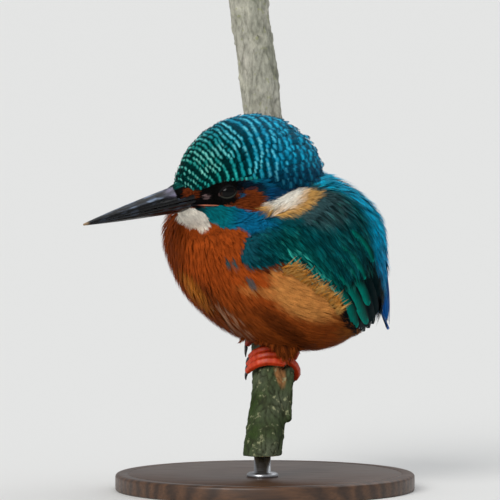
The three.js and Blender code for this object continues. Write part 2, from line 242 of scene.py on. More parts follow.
def joined_copy(name, nodes, grow):
    """The nodes' surfaces in one mesh, each pushed out by grow millimetres."""
    points, faces, first = [], [], 0
    for node in nodes:
        own, triangles = welded(node)
        facing = face_normals(own[triangles])
        normals = np.zeros_like(own)
        for corner in range(3):
            np.add.at(normals, triangles[:, corner], facing)
        points.append(own + unit(normals) * grow)
        faces.append(triangles + first)
        first += len(own)
    return make_mesh(name, np.concatenate(points), np.concatenate(faces))


def rebuilt(name, nodes, voxel, rounds, grow=0.0):
    """One even, closed, smoothed surface over the nodes."""
    rough = joined_copy(name, nodes, grow)
    piece = new_object(rough)
    remesh = piece.modifiers.new("remesh", "REMESH")
    remesh.mode = "VOXEL"
    remesh.voxel_size = voxel * MM
    smooth = piece.modifiers.new("smooth", "SMOOTH")
    smooth.factor = 0.5
    smooth.iterations = rounds
    smoothed = piece.evaluated_get(bpy.context.evaluated_depsgraph_get())
    result = bpy.data.meshes.new_from_object(smoothed)
    bpy.data.objects.remove(piece)
    bpy.data.meshes.remove(rough)
    result.name = name
    result.shade_smooth()
    return result


CROWDING = 2.6  # candidate points to one spacing squared, enough to leave no holes


class Outline:
    """The bird's outer surface in millimetres: answers where on it the nearest point is."""

    def __init__(self, mesh):
        self.points = mesh_points(mesh)
        self.normals = mesh_normals(mesh)
        self.faces = mesh_triangles(mesh)
        self.tree = BVHTree.FromPolygons(self.points.tolist(), self.faces.tolist())

    def nearest(self, points):
        """The nearest place on the surface to each point, and the way it faces there."""
        spots = np.empty_like(points)
        index = np.empty(len(points), int)
        for i, point in enumerate(points):
            spots[i], _, index[i], _ = self.tree.find_nearest(point)
        return spots, unit(self.normals[self.faces[index]].mean(1))

    def seen_from(self, start, ways):
        """Where rays from a point inside meet the surface."""
        return np.array([self.tree.ray_cast(start, way)[0] for way in ways])

    def scatter(self, spacing, keep, rng):
        """Points over the part that keep() allows, no closer than spacing, a number or a rule, allows."""
        corners = self.points[self.faces]
        middles = corners.mean(1)
        gaps = spacing(middles) if callable(spacing) else np.full(len(middles), spacing)
        areas = np.linalg.norm(face_normals(corners), axis=1)
        shares = np.where(keep(middles), areas / gaps ** 2, 0)
        count = int(CROWDING * shares.sum())
        chosen = rng.choice(len(middles), count, p=shares / shares.sum())
        parts = rng.dirichlet((1, 1, 1), count)
        places = (corners[chosen] * parts[:, :, None]).sum(1)
        return places[apart(places, gaps[chosen])]


def apart(places, gaps):
    """Picks places in order, leaving out any that lies closer than its gap to one already picked."""
    cell = float(gaps.max())
    kept, grid = [], {}
    keys = np.floor(places / cell).astype(int)
    near = [(i, j, k) for i in (-1, 0, 1) for j in (-1, 0, 1) for k in (-1, 0, 1)]
    for n, (x, y, z) in enumerate(keys):
        limit = gaps[n] ** 2
        point = places[n]
        if not any(
            ((places[m] - point) ** 2).sum() < limit
            for i, j, k in near
            for m in grid.get((x + i, y + j, z + k), ())
        ):
            grid.setdefault((x, y, z), []).append(n)
            kept.append(n)
    return np.array(kept, int)


# ---------------------------------------------------------------- markings

# Edges of the head's markings: angle from the bill's axis, then angle from the middle of the crown.
CROWN_EDGE = (
    (0, 8, 11, 16, 24, 36, 45, 59, 67, 82, 93, 105, 120, 139, 180),
    (22, 24, 46, 56, 59, 63, 67, 71, 79, 85, 85, 85, 86, 70, 66))
GAPE_EDGE = ((14, 19, 24, 37, 44, 51, 62, 71, 90), (112, 106, 103, 102, 105, 107.5, 107.5, 105, 101))
MALAR_EDGE = (
    (16, 24, 31, 36, 40, 47, 55, 65, 76, 90),
    (131, 141, 137, 133, 129.5, 126, 124, 123, 128, 136))
EAR_TOP = ((24, 34, 43, 57, 66, 72), (95, 91, 83.5, 80.5, 85, 96))
PATCH_TOP = ((58, 62, 69, 80, 92, 105, 115, 122), (107, 105.5, 99, 96.5, 92.5, 89.5, 90, 93.5))
PATCH_BOTTOM = ((58, 62, 71, 78, 88, 98, 109, 122), (105, 105.5, 107, 108.5, 107, 103.5, 98.5, 94.5))
# The throat's edges on the near and the far side go the other way: from the crown, then from the bill.
THROAT_EDGE = ((116, 119, 124, 134, 143, 150, 162, 172, 180), (8, 13, 17, 20.7, 24.8, 27, 26, 22.5, 20.5))
THROAT_FAR_EDGE = ((104, 110, 118, 126, 145, 172, 180), (19, 23.5, 27, 26.5, 22, 20, 20.5))
# Edges on the body, by Y and Z: the wing's lower and leading edges and the stripe down the back.
WING_LOWER = (
    (-7, -4.9, 0.8, 6.8, 10.5, 16.2, 20, 23.3, 26.4, 34),
    (70, 67.7, 67.7, 69.4, 66.8, 62.1, 58.4, 52.7, 48.5, 42))
WING_LEAD = ((60, 68, 72, 79, 84, 100), (-5.5, -6, -7.2, -3.9, -1.5, -2))
STRIPE_EDGE = ((46, 52, 56, 61, 65, 73, 83, 90, 96), (2, 3, 5, 10, 14.5, 15.0, 12.6, 10.5, 9.5))

COLOURS = {
    "crown_front": srgb(6, 112, 104),
    "crown_back": srgb(2, 122, 158),
    "nape_low": srgb(5, 66, 104),
    # The pale front spots are partly the bars' own turquoise and partly painted highlight, near white where
    # light falls on the crown's top.
    "spot_front_highlit": srgb(150, 232, 214),
    "spot_low": srgb(24, 196, 186),
    "spot_middle": srgb(118, 222, 234),
    "spot_back": srgb(40, 206, 246),
    "malar": srgb(2, 124, 134),
    "malar_back": srgb(5, 106, 148),
    # Darker orange for the front of the breast: painted shade where it turns from the light.
    "breast_front_shade": srgb(144, 61, 18),
    "breast": srgb(163, 71, 22),
    "belly": srgb(140, 66, 22),
    "vent": srgb(132, 76, 30),
    # Dark brown painted shade for the folds of the under parts' plumage.
    "crease": srgb(84, 36, 10),
    "golden": srgb(206, 130, 46),
    "silver": srgb(196, 150, 118),
    "flank": srgb(207, 140, 73),
    "ear": srgb(120, 54, 21),
    "lore": srgb(92, 38, 14),
    "black": srgb(6, 7, 9),
    "brow": srgb(4, 34, 52),
    "lid_front": srgb(112, 92, 92),
    "lid_back": srgb(34, 84, 118),
    "lid_dark": srgb(30, 30, 40),
    "white": srgb(255, 252, 242),
    "buff": srgb(214, 164, 92),
    "shoulder": srgb(14, 80, 92),
    "mantle": srgb(3, 80, 87),
    "slate": srgb(60, 88, 92),
    "coverts": srgb(2, 84, 82),
    "covert_tip": srgb(70, 226, 206),
    "secondary": srgb(4, 130, 114),
    "primary": srgb(5, 12, 16),
    "back_high": srgb(4, 192, 236),
    "back_low": srgb(2, 162, 222),
    "tail": srgb(5, 92, 180),
}


def head_polar(points):
    """Angle from the bill's axis, angle from the middle of the crown, and level: 1 on the head's surface."""
    local = points - HEAD_CENTRE
    forward, left, up = local @ FORWARD, local @ LEFT, local @ UP
    reach = np.maximum(np.linalg.norm(local, axis=-1), 1e-6)
    polar = np.degrees(np.arccos(np.clip(forward / reach, -1, 1)))
    around = np.degrees(np.arctan2(np.abs(left), up))
    ahead = forward / np.where(forward > 0, HEAD["front"], HEAD["back"])
    half = HEAD["half"] * (1 - HEAD["face_taper"] * ease(ahead, 0, 1))
    height = np.where(up > 0, HEAD["crown"], HEAD["throat"])
    level = np.sqrt(ahead ** 2 + (left / half) ** 2 + (up / height) ** 2)
    return polar, around, level


def blob(u, v, centre, size, tilt=0.0):
    """1 inside an oval, fading out at its edge."""
    c, s = math.cos(math.radians(tilt)), math.sin(math.radians(tilt))
    du, dv = u - centre[0], v - centre[1]
    reach = np.hypot((du * c + dv * s) / size[0], (dv * c - du * s) / size[1])
    return ease(reach, 1.25, 0.75)


def zone_masks(points):
    """How far each point lies in each marking, 0 to 1."""
    x, y, z = points.T
    polar, around, level = head_polar(points)
    far = ease((points - HEAD_CENTRE) @ LEFT, 0, -3)
    near_head, on_face = ease(level, 1.34, 1.2), ease(level, 1.2, 1.1)
    past_crown = past(around, polar, CROWN_EDGE)
    past_patch = past(around, polar, PATCH_TOP)
    below_gape = ease(past(around, polar, GAPE_EDGE), -0.8, 0.8)
    over_ear = ease(past(around, polar, EAR_TOP), 1.5, -1.5)
    past_throat = past(polar, around, THROAT_EDGE) * (1 - far) + past(polar, around, THROAT_FAR_EDGE) * far
    upper = ease(past(z, y, WING_LOWER), -0.25, 0.25) * ease(past(y, z, WING_LEAD), -0.3, 0.3)
    stripe = ease(past(np.abs(x), z, STRIPE_EDGE), 1.6, -1.6) * ease(y, 10, 16) * upper
    malar = below_gape * ease(past(around, polar, MALAR_EDGE), 0.4, -0.4)
    malar = malar * ease(polar - 14 * far, 9, 12) * ease(polar, 92, 88) * ease(level + 0.3 * far, 1.62, 1.5)
    throat = ease(past_throat, 0.5, -0.5) * ease(around + 13 * far, 117, 119) * ease(level, 1.6, 1.45)
    ear = (1 - over_ear) * (1 - below_gape) * ease(polar, 33, 36) * ease(polar, 74, 66) * near_head
    brow = ease(past_crown, -1.0, 0.5) * over_ear * ease(polar, 12, 16) * ease(polar, 73, 66) * near_head
    patch = ease(past_patch, -1.2, 1.2) * ease(past(around, polar, PATCH_BOTTOM), 1.2, -1.2)
    patch = patch * ease(polar, 61, 65) * ease(polar, 125, 121) * ease(level, 1.5, 1.35)
    nape = ease(past_crown, -1.0, 0.5) * ease(past_patch, 1, -1)
    nape = nape * ease(polar, 68, 73) * ease(polar, 122, 112) * near_head
    mask = ease(around, 74, 80) * (1 - below_gape) * ease(polar, 34, 31)
    mask = np.maximum(mask, blob(polar, around, (27, 76), (13, 13))) * on_face
    return {
        "crown": ease(past_crown, 1.5, -1.5) * ease(level, 1.3, 1.12),
        "upper": upper,
        "stripe": stripe,
        "malar": malar,
        "throat": throat,
        "ear": ear,
        "brow": brow,
        "patch": patch,
        "nape": nape,
        "mask": mask,
        "lore": blob(polar, around, (11.5, 58), (5.0, 17)) * on_face,
    }


def over_wing_edge(points):
    """Height over the folded wing's lower edge."""
    return past(points[:, 2], points[:, 1], WING_LOWER)


def above_flight(points):
    """Height over the line where the loose coverts end and the long feathers show."""
    return points[:, 2] - 60.5 - 0.65 * (points[:, 1] - 22)


# Patches on the under parts: colour, strength, middle in Y and Z, half sizes, tilt and where they show.
UNDER_MARKS = (
    ("flank", 0.9, (13, 59.5), (11, 6.5), -22, "all"),
    ("golden", 0.9, (-20.5, 59.5), (7.5, 2.0), -48, "streaks"),
    # The three crease rows are painted shade in the folds of the plumage.
    ("crease", 0.75, (6.5, 49.5), (10.5, 2.6), -36, "all"),
    ("crease", 0.5, (-15.5, 57.5), (8, 2.0), -50, "all"),
    ("crease", 0.35, (-26.5, 72), (9, 2.2), -80, "all"),
    ("flank", 0.45, (-1, 60.5), (7, 1.5), -10, "all"),
    ("silver", 0.6, (-9, 50.5), (8, 2.2), -42, "wisps"),
    ("slate", 0.8, (-3.6, 63.2), (0.9, 1.9), 15, "left"),
    ("mantle", 0.9, (-9.5, 68.6), (1.6, 1.2), 0, "left"),
)


def under_colour(points):
    x, y, z = points.T
    left = ease(x, 0, 8)
    streaks = 0.6 + 0.4 * sway(points * np.array([1.0, 0.5, 0.5]), 0.9, 16)
    wisps = ease(sway(points * np.array([0.3, 0.8, 0.8]), 1.1, 15), 0.0, 0.5)
    shows = {"all": 1.0, "left": left, "streaks": ease(x, -8, 14) * streaks, "wisps": left * wisps}
    tint = mix(COLOURS["breast"], COLOURS["belly"], ease(z, 66, 50))
    # The front of the breast darker: painted shade.
    tint = mix(tint, COLOURS["breast_front_shade"], ease(y, -22, -30))
    for colour, strength, middle, size, tilt, where in UNDER_MARKS:
        tint = mix(tint, COLOURS[colour], strength * shows[where] * blob(y, z, middle, size, tilt))
    return mix(tint, COLOURS["vent"], ease(y, 20, 26))


def upper_colour(points, stripe):
    _, y, z = points.T
    tint = mix(COLOURS["shoulder"], COLOURS["mantle"], ease(y, -3, 6))
    tint = mix(tint, COLOURS["coverts"], ease(over_wing_edge(points), 14, 6) * ease(y, 3, 9))
    tint = mix(tint, COLOURS["slate"], 0.85 * blob(y, z, (17, 85.5), (9.5, 6), -20))
    back = mix(COLOURS["back_high"], COLOURS["back_low"], ease(z, 82, 62))
    tint = mix(tint, COLOURS["primary"], ease(above_flight(points), 0.5, -0.5) * ease(y, 15, 18))
    return mix(tint, back, stripe)


def crown_colour(points):
    polar, around, _ = head_polar(points)
    tint = mix(COLOURS["crown_front"], COLOURS["crown_back"], ease(polar, 30, 90))
    return mix(tint, COLOURS["nape_low"], 0.8 * ease(around, 60, 76) * ease(polar, 60, 78))


# Bare and dark skin round the eye, in the head's angles: colour, strength, middle, half sizes, tilt.
LID_MARKS = (
    ("lid_front", 0.8, (18.8, 80), (1.9, 6), 0),
    ("lid_dark", 0.85, (43, 86), (9, 5.5), 10),
    ("lid_back", 0.9, (47, 87.5), (4.0, 3.2), 0),
)


def malar_colour(polar):
    """The moustache stripe: black at the bill, then green, blue and the mantle's own colour."""
    tint = mix(COLOURS["malar"], COLOURS["malar_back"], ease(polar, 32, 50))
    tint = mix(COLOURS["black"], tint, 0.1 + 0.9 * ease(polar, 13, 24))
    return mix(tint, COLOURS["mantle"], ease(polar, 66, 80))


def markings(points):
    """The colour of the plumage at each point."""
    zones = zone_masks(points)
    polar, around, _ = head_polar(points)
    low_patch = ease(past(around, polar, PATCH_BOTTOM), -9, -2)
    patch_buff = np.clip(0.1 + 0.9 * low_patch + 0.6 * ease(polar, 106, 122), 0, 1)
    throat_buff = 0.15 + 0.4 * ease(around, 150, 178) * ease(polar, 16, 26)
    layers = {
        "upper": upper_colour(points, zones["stripe"]),
        "crown": mix(crown_colour(points), COLOURS["back_high"], ease(polar, 118, 135)),
        "nape": COLOURS["nape_low"],
        "malar": malar_colour(polar),
        "ear": COLOURS["ear"],
        "patch": mix(COLOURS["white"], COLOURS["buff"], patch_buff),
        "throat": mix(COLOURS["white"], COLOURS["buff"], throat_buff),
        "brow": mix(COLOURS["black"], COLOURS["brow"], ease(polar, 40, 60)),
        "mask": COLOURS["black"],
    }
    tint = under_colour(points)
    for zone, colour in layers.items():
        tint = mix(tint, colour, zones[zone])
    for colour, strength, middle, size, tilt in LID_MARKS:
        tint = mix(tint, COLOURS[colour], strength * blob(polar, around, middle, size, tilt))
    return mix(tint, COLOURS["lore"], zones["lore"])


# ---------------------------------------------------------------- the lie and depth of the plumage

# Degrees below level at which feathers lie, by Y: on the under parts and on the wings.
UNDER_LIE = ((-30, -20, -5, 8, 20), (80, 64, 42, 24, 14))
WING_LIE = ((-8, 0, 10, 20, 30, 36), (36, 42, 50, 60, 78, 88))


def lie(points, normals):
    """The way that feathers point at each point of the outline."""
    y = points[:, 1]
    polar, around, level = head_polar(points)
    zones = zone_masks(points)
    wing = zones["upper"]
    down = np.radians(np.interp(y, *UNDER_LIE) * (1 - wing) + np.interp(y, *WING_LIE) * wing)
    body = np.stack([np.zeros_like(y), np.cos(down), -np.sin(down)], 1)
    droop = 0.75 * ease(around, 95, 135) * ease(polar, 80, 40) - 0.12 * zones["patch"]
    head = -FORWARD - droop[:, None] * UP
    way = mix(body, head, ease(level, 1.32, 1.1))
    return unit(in_plane(way, normals))


def coat_depth(points):
    """How far the skin lies inside the outline."""
    polar, _, level = head_polar(points)
    depth = 1.5 - 0.3 * ease(level, 1.2, 1.05)
    return depth * (0.4 + 0.6 * ease(polar, 18, 48))


def unwrap(points):
    """A place on a flat map of the skin: longitude and height, from 0 to 1."""
    local = points - np.array([0.0, 2.0, 68.0])
    reach = np.linalg.norm(local, axis=-1)
    longitude = np.arctan2(local[..., 0], -local[..., 1]) / (2 * math.pi) + 0.5
    return np.stack([0.01 + 0.98 * longitude, 0.01 + 0.98 * (0.5 + 0.5 * local[..., 2] / reach)], -1)


# ---------------------------------------------------------------- feather shapes


class Shape:
    """A feather's flat pattern: along, sideways and raised, the last two in half widths.

    strand is a number from 0 to 1 that the corners of one barb share."""

    def __init__(self, along, sideways, raised, strand, faces):
        self.along = np.array(along)
        self.sideways = np.array(sideways)
        self.raised = np.array(raised)
        self.strand = np.array(strand)
        self.faces = np.array(faces)


def hair_tuft(barbs, rng, loose=0.3, wide=1.15):
    """Loose barbs that start close together and fan out, each a strip that narrows to a point."""
    along, sideways, raised, strand, faces = [], [], [], [], []
    for place in np.linspace(-1, 1, barbs):
        start = 0.16 * rng.random()
        end = 1 - loose * place * place - 0.22 * rng.random()
        tip = place + 0.25 * rng.normal()
        lift = 0.3 * rng.normal() * loose
        own = rng.random()
        first = len(along)
        for share, width in ((0.0, 0.6), (0.55, 1.0), (1.0, 0.0)):
            centre = (0.3 + 0.7 * share ** 0.8) * (place * (1 - share) + tip * share)
            for sense in (-1, 1) if width else (0,):
                along.append(start + (end - start) * share)
                sideways.append(centre + sense * wide * width / barbs)
                raised.append(lift * share - 0.12 * centre * centre)
                strand.append(own)
        faces += [(first + a, first + b, first + c) for a, b, c in ((0, 2, 3), (0, 3, 1), (2, 4, 3))]
    return Shape(along, sideways, raised, strand, faces)


def vane(
    pairs, rng, lean=0.3, ragged=0.06, notch=0.25, fullness=2.2, early=0.75, camber=0.25, loose=0.05
):
    """Two webs of barbs that slant forward off a shaft, so that the edges are finely toothed.

    A low fullness makes the end pointed; early moves the widest place; camber bends the webs down."""
    def width(share):
        return max(0.0, 1 - abs(2 * share ** early - 1) ** fullness) ** (1 / fullness)
    shaft = np.linspace(0, 1, pairs + 1)
    along, sideways, raised = list(shaft), [0.0] * len(shaft), [0.08] * len(shaft)
    strand = [0.5] * len(shaft)
    faces = []
    for j in range(pairs):
        for sense in (-1, 1):
            start = shaft[j] + lean * (1 - shaft[j])
            end = shaft[j + 1] + lean * (1 - shaft[j + 1]) - notch * (1 - lean) / pairs
            first = len(along)
            lift = loose * rng.normal()
            for share in (start, end):
                out = width(share) * (1 + ragged * rng.normal())
                along.append(share)
                sideways.append(sense * out)
                raised.append(lift - camber * out * out)
            strand += [rng.random()] * 2
            quad = (j, j + 1, first + 1, first) if sense > 0 else (j, first, first + 1, j + 1)
            faces += [(quad[0], quad[1], quad[2]), (quad[0], quad[2], quad[3])]
    return Shape(along, sideways, raised, strand, faces)


LAID_STATIONS = 4  # steps along a feather that follows the outline
BAKE_PATCH = 0.003  # size of each feather's patch on the unwrapped skin


class Feathers:
    """Feathers side by side: each has a shaft of points that face some way, a half width and a colour."""

    def __init__(self, shafts, normals, sides, halves, tint):
        self.shafts, self.normals, self.sides = shafts, normals, sides
        self.halves, self.tint = halves, tint

    @classmethod
    def laid(cls, outline, roots, lengths, halves, above, stray=0.0, sunk=1.0):
        """Feathers that follow the lie of the plumage and end that far above the outline.

        Their roots are sunk through all of the coat's depth, or a share of it."""
        count, stations = len(roots), LAID_STATIONS
        spots, facing = outline.nearest(roots)
        sink = sunk * coat_depth(roots)
        lengths, halves, rise, stray = (
            np.broadcast_to(np.asarray(v, float), count) for v in (lengths, halves, sink + above, stray))
        ways = lie(spots, facing)
        ways = unit(ways + np.cross(facing, ways) * stray[:, None])
        shafts, normals, sides = [spots - facing * sink[:, None]], [facing], [np.cross(facing, ways)]
        for k in range(1, stations + 1):
            spots, facing = outline.nearest(spots + ways * (lengths / stations)[:, None])
            ways = lie(spots, facing)
            ways = unit(ways + np.cross(facing, ways) * (stray * (1 - k / stations))[:, None])
            height = rise * (k / stations) ** 0.85 - sink
            shafts.append(spots + facing * height[:, None])
            normals.append(facing)
            sides.append(np.cross(facing, ways))
        shafts, normals, sides = (np.stack(v, 1) for v in (shafts, normals, sides))
        return cls(shafts, normals, sides, halves, markings(shafts[:, 3 * stations // 4]))

    @classmethod
    def strung(cls, shafts, facing, halves, tint):
        """Feathers along given shafts (count, stations, 3), facing the given ways."""
        along = unit(np.gradient(shafts, axis=1))
        normals = unit(in_plane(np.broadcast_to(facing, shafts.shape), along))
        halves = np.broadcast_to(np.asarray(halves, float), len(shafts))
        tint = np.broadcast_to(tint, (len(shafts), 3))
        return cls(shafts, normals, np.cross(normals, along), halves, tint)

    def __len__(self):
        return len(self.shafts)

    def cut(self, chosen):
        """Some of the feathers."""
        parts = (self.shafts, self.normals, self.sides, self.halves, self.tint)
        return Feathers(*(part[chosen] for part in parts))

    def grown(self, shape, colour):
        """Points, faces, tints, bake places and vane places of one shape repeated on every feather."""
        stations = self.shafts.shape[1] - 1
        at = np.clip(shape.along, 0, 1) * stations
        low = np.minimum(at.astype(int), stations - 1)
        share = (at - low)[None, :, None]
        centre, normal, side = (
            v[:, low] * (1 - share) + v[:, low + 1] * share
            for v in (self.shafts, self.normals, self.sides))
        size = self.halves[:, None, None]
        points = centre + side * shape.sideways[None, :, None] * size
        points = points + normal * shape.raised[None, :, None] * size
        count, corners = len(self), len(shape.along)
        faces = shape.faces[None] + (np.arange(count) * corners)[:, None, None]
        patch = np.stack([shape.along - 0.5, 0.5 * shape.sideways], -1) * BAKE_PATCH
        bake = np.clip(unwrap(self.shafts[:, 0])[:, None] + patch[None], 0, 1)
        grain = np.broadcast_to(np.stack([shape.along, shape.sideways], -1), (count, corners, 2))
        facing = unit(normal + 0.45 * side * shape.sideways[None, :, None])
        tint = colour(self, shape)
        flat = [v.reshape(-1, v.shape[-1]) for v in (points, tint, bake, grain, facing)]
        return faces.reshape(-1, 3), flat


def coat(name, batches, material, slot):
    """One piece from batches of (feathers, shapes, colour rule); each feather takes one of the shapes."""
    faces, parts, first = [], [], 0
    for feathers, shapes, colour in batches:
        for n, shape in enumerate(shapes):
            own, flat = feathers.cut(slice(n, None, len(shapes))).grown(shape, colour)
            faces.append(own + first)
            parts.append(flat)
            first += len(flat[0])
    points, tint, bake, grain, facing = (np.concatenate(v) for v in zip(*parts))
    faces = np.concatenate(faces)
    print(f"{name}: {len(faces)} triangles")
    mesh = make_mesh(name, points, faces, tint, bake, {"vane": grain}, facing)
    return finish_piece(new_object(mesh), material, slot)


# ---------------------------------------------------------------- colour rules of the feathers


def streaked(contrast, seed, root=0.55, barbs=0.2):
    """Darker towards the root; each feather, and each barb, a little lighter or darker than the next."""
    def rule(feathers, shape):
        rng = np.random.default_rng(seed)
        tone = 1 + contrast * rng.normal(size=(len(feathers), 1))
        fade = root + (1 - root) * ease(shape.along, 0.15, 0.75)
        barb = 1 + barbs * (2 * shape.strand - 1)
        return feathers.tint[:, None, :] * (tone * fade * barb)[:, :, None].clip(0.1, 2.5)
    return rule


def barred(seed, spot, strength, middle=0.74, size=0.13):
    """A bright bar across a dark feather: a pale line inside a band of the feather's own colour.

    strength gives how bright the bar is and how light the rest of the feather."""
    def rule(feathers, shape):
        rng = np.random.default_rng(seed)
        power, dark = strength(feathers)
        off = shape.along - middle + 0.07 * (shape.strand - 0.5)
        off = np.abs(off[None] + 0.025 * rng.normal(size=(len(feathers), 1)))
        patchy = 0.15 + 0.85 * ease(sway(feathers.shafts[:, 0], 2.4, seed), -0.35, 0.35)
        patchy = patchy * rng.uniform(0.8, 1.0, len(feathers))
        band = ease(off, size, 0.6 * size) * power[:, None]
        core = ease(off, 0.6 * size, 0.15 * size) * (power * patchy)[:, None]
        core = core * (0.7 + 0.3 * shape.strand)
        streaks = 0.5 + shape.strand
        ground = feathers.tint[:, None, :] * (dark[:, None] * streaks)[:, :, None]
        tint = mix(ground, feathers.tint[:, None, :] * (1.1 + 0.5 * shape.strand)[None, :, None], band)
        return mix(tint, spot(feathers)[:, None, :], core)
    return rule


def tipped(seed, spot, strength, edge=0.6, barbs=0.3):
    """A darker feather with a brighter end and a dark rim. strength is a number or a rule."""
    def rule(feathers, shape):
        rng = np.random.default_rng(seed)
        power = strength(feathers) if callable(strength) else strength
        power = power * (0.7 + 0.5 * rng.random(len(feathers)))
        tip = ease(shape.along, 0.5, 0.85)[None] * power[:, None] * ease(shape.strand, 0.1, 0.9)
        clump = ease(sway(feathers.shafts[:, 0] * np.array([1.0, 0.6, 1.0]), 1.3, seed), -0.5, 0.5)
        tone = (rng.uniform(0.6, 1.1, len(feathers)) * (0.6 + 0.6 * clump))[:, None]
        tone = tone * (0.4 + 0.6 * ease(shape.along, 0.1, 0.6))
        tone = tone * (1 - edge * ease(np.abs(shape.sideways), 0.6, 1.0))
        tone = tone * (1 + barbs * (2 * shape.strand - 1))
        ground = feathers.tint[:, None, :] * tone[:, :, None]
        return mix(ground, spot(feathers)[:, None, :], np.clip(tip, 0, 1))
    return rule


def rimmed(seed, rim, side=0):
    """A long feather: a dark rim, on one side or on both (0), a darker shaft and a tone of its own."""
    def rule(feathers, shape):
        rng = np.random.default_rng(seed)
        tone = 0.85 + 0.3 * rng.random((len(feathers), 1))
        across = np.abs(shape.sideways) if side == 0 else side * shape.sideways
        edge = ease(across, 0.5, 0.8)[None]
        shaft = ease(np.abs(shape.sideways), 0.05, 0.0)[None] * 0.6
        tone = tone * (1 - rim * edge) * (1 - shaft)
        return feathers.tint[:, None, :] * tone[:, :, None]
    return rule


def crown_spot(feathers):
    polar, around, _ = head_polar(feathers.shafts[:, 2])
    tint = mix(COLOURS["spot_front_highlit"], COLOURS["spot_middle"], ease(polar, 25, 60))
    # The lower sides keep the saturated teal; the paler spots above them carry painted highlight.
    tint = mix(tint, COLOURS["spot_low"], 0.85 * ease(around, 30, 58) * ease(polar, 62, 45))
    return mix(tint, COLOURS["spot_back"], ease(polar, 70, 105))


def crown_strength(feathers):
    """How bright the bars are, and how dark the ground between them is: both softer low on the nape."""
    polar, around, _ = head_polar(feathers.shafts[:, 2])
    low_nape = ease(around, 58, 76) * ease(polar, 62, 82)
    power = (1 - 0.7 * low_nape) * (0.6 + 0.4 * ease(polar, 8, 22))
    return power, 0.1 + 0.3 * ease(polar, 45, 100)


def covert_spot(feathers):
    return np.broadcast_to(COLOURS["covert_tip"], (len(feathers), 3))


def own_bright(gain):
    """The feathers' own colour, so many times brighter."""
    def spot(feathers):
        return np.clip(feathers.tint * gain, 0, 1)
    return spot


# ---------------------------------------------------------------- materials


class Nodes:
    """A material's node tree, with short calls to add nodes and link them."""

    def __init__(self, name):
        self.material = bpy.data.materials.new(name)
        self.material.use_nodes = True
        self.tree = self.material.node_tree
        self.shader = next(n for n in self.tree.nodes if n.type == "BSDF_PRINCIPLED")

    def add(self, kind, inputs=None, **settings):
        node = self.tree.nodes.new(f"ShaderNode{kind}")
        for key, value in settings.items():
            setattr(node, key, value)
        for key, value in (inputs or {}).items():
            if isinstance(value, bpy.types.NodeSocket):
                self.tree.links.new(value, node.inputs[key])
            else:
                node.inputs[key].default_value = value
        return node

    def set(self, **values):
        for key, value in values.items():
            socket = self.shader.inputs[key.replace("_", " ").title().replace("Ior", "IOR")]
            if isinstance(value, bpy.types.NodeSocket):
                self.tree.links.new(value, socket)
            else:
                socket.default_value = value

    def tint(self):
        return self.add("Attribute", attribute_name="tint").outputs["Color"]

    def place(self):
        return self.add("TexCoord").outputs["Object"]

    def noise(self, at, scale, detail=3.0, rough=0.55):
        inputs = {"Vector": at, "Scale": scale, "Detail": detail, "Roughness": rough}
        return self.add("TexNoise", inputs).outputs["Fac"]

    def waves(self, at, scale, distortion, detail, detail_scale, direction):
        inputs = {"Vector": at, "Scale": scale, "Distortion": distortion, "Detail": detail}
        inputs["Detail Scale"] = detail_scale
        return self.add("TexWave", inputs, wave_type="BANDS", bands_direction=direction).outputs["Fac"]

    def stretched(self, at, size):
        return self.add("Mapping", {"Vector": at, "Scale": size}).outputs["Vector"]

    def range(self, value, low, high, to_low, to_high):
        return self.add("MapRange", {
            "Value": value, "From Min": low, "From Max": high, "To Min": to_low, "To Max": to_high,
        }).outputs["Result"]

    def mixed(self, share, a, b, blend="MIX"):
        node = self.add("Mix", {0: share}, data_type="RGBA", blend_type=blend)
        for index, value in ((6, a), (7, b)):
            if isinstance(value, bpy.types.NodeSocket):
                self.tree.links.new(value, node.inputs[index])
            else:
                node.inputs[index].default_value = (*value, 1.0)
        return node.outputs[2]

    def shaded(self, colour, value, low, high, dark, light):
        """The colour times a tone that runs from dark to light as value runs from low to high."""
        tone = self.range(value, low, high, dark, light)
        grey = self.add("CombineColor", {"Red": tone, "Green": tone, "Blue": tone}).outputs["Color"]
        return self.mixed(1.0, colour, grey, "MULTIPLY")

    def bump(self, height, strength, distance):
        node = self.add("Bump", {"Height": height, "Strength": strength, "Distance": distance * MM})
        self.set(normal=node.outputs["Normal"])


def plumage_material(name, roughness, gloss, gloss_tint):
    """Colour from the markings, with the fine slanting barbs of each web as light and dark lines."""
    nodes = Nodes(name)
    web = nodes.add("UVMap", uv_map="vane").outputs["UV"]
    barbs = nodes.waves(nodes.stretched(web, (1.0, 0.35, 1.0)), 7.0, 2.5, 2.0, 2.0, "DIAGONAL")
    patches = nodes.noise(nodes.place(), 420.0, 4.0)
    colour = nodes.shaded(nodes.tint(), barbs, 0, 1, 0.82, 1.12)
    colour = nodes.shaded(colour, patches, 0.3, 0.7, 0.8, 1.18)
    rough = nodes.range(patches, 0.3, 0.7, roughness - 0.08, roughness + 0.08)
    nodes.set(base_color=colour, roughness=rough)
    nodes.set(specular_ior_level=gloss, specular_tint=(*gloss_tint, 1.0))
    nodes.bump(barbs, 0.25, 0.12)
    return nodes.material


def skin_material():
    """The down under the feathers: the same markings, darker and mottled."""
    nodes = Nodes("skin_down")
    fluff = nodes.noise(nodes.place(), 1500.0, 5.0, 0.7)
    colour = nodes.shaded(nodes.tint(), fluff, 0.3, 0.7, 0.45, 0.85)
    nodes.set(base_color=colour, roughness=0.9, specular_ior_level=0.1)
    nodes.bump(fluff, 0.5, 0.25)
    return nodes.material


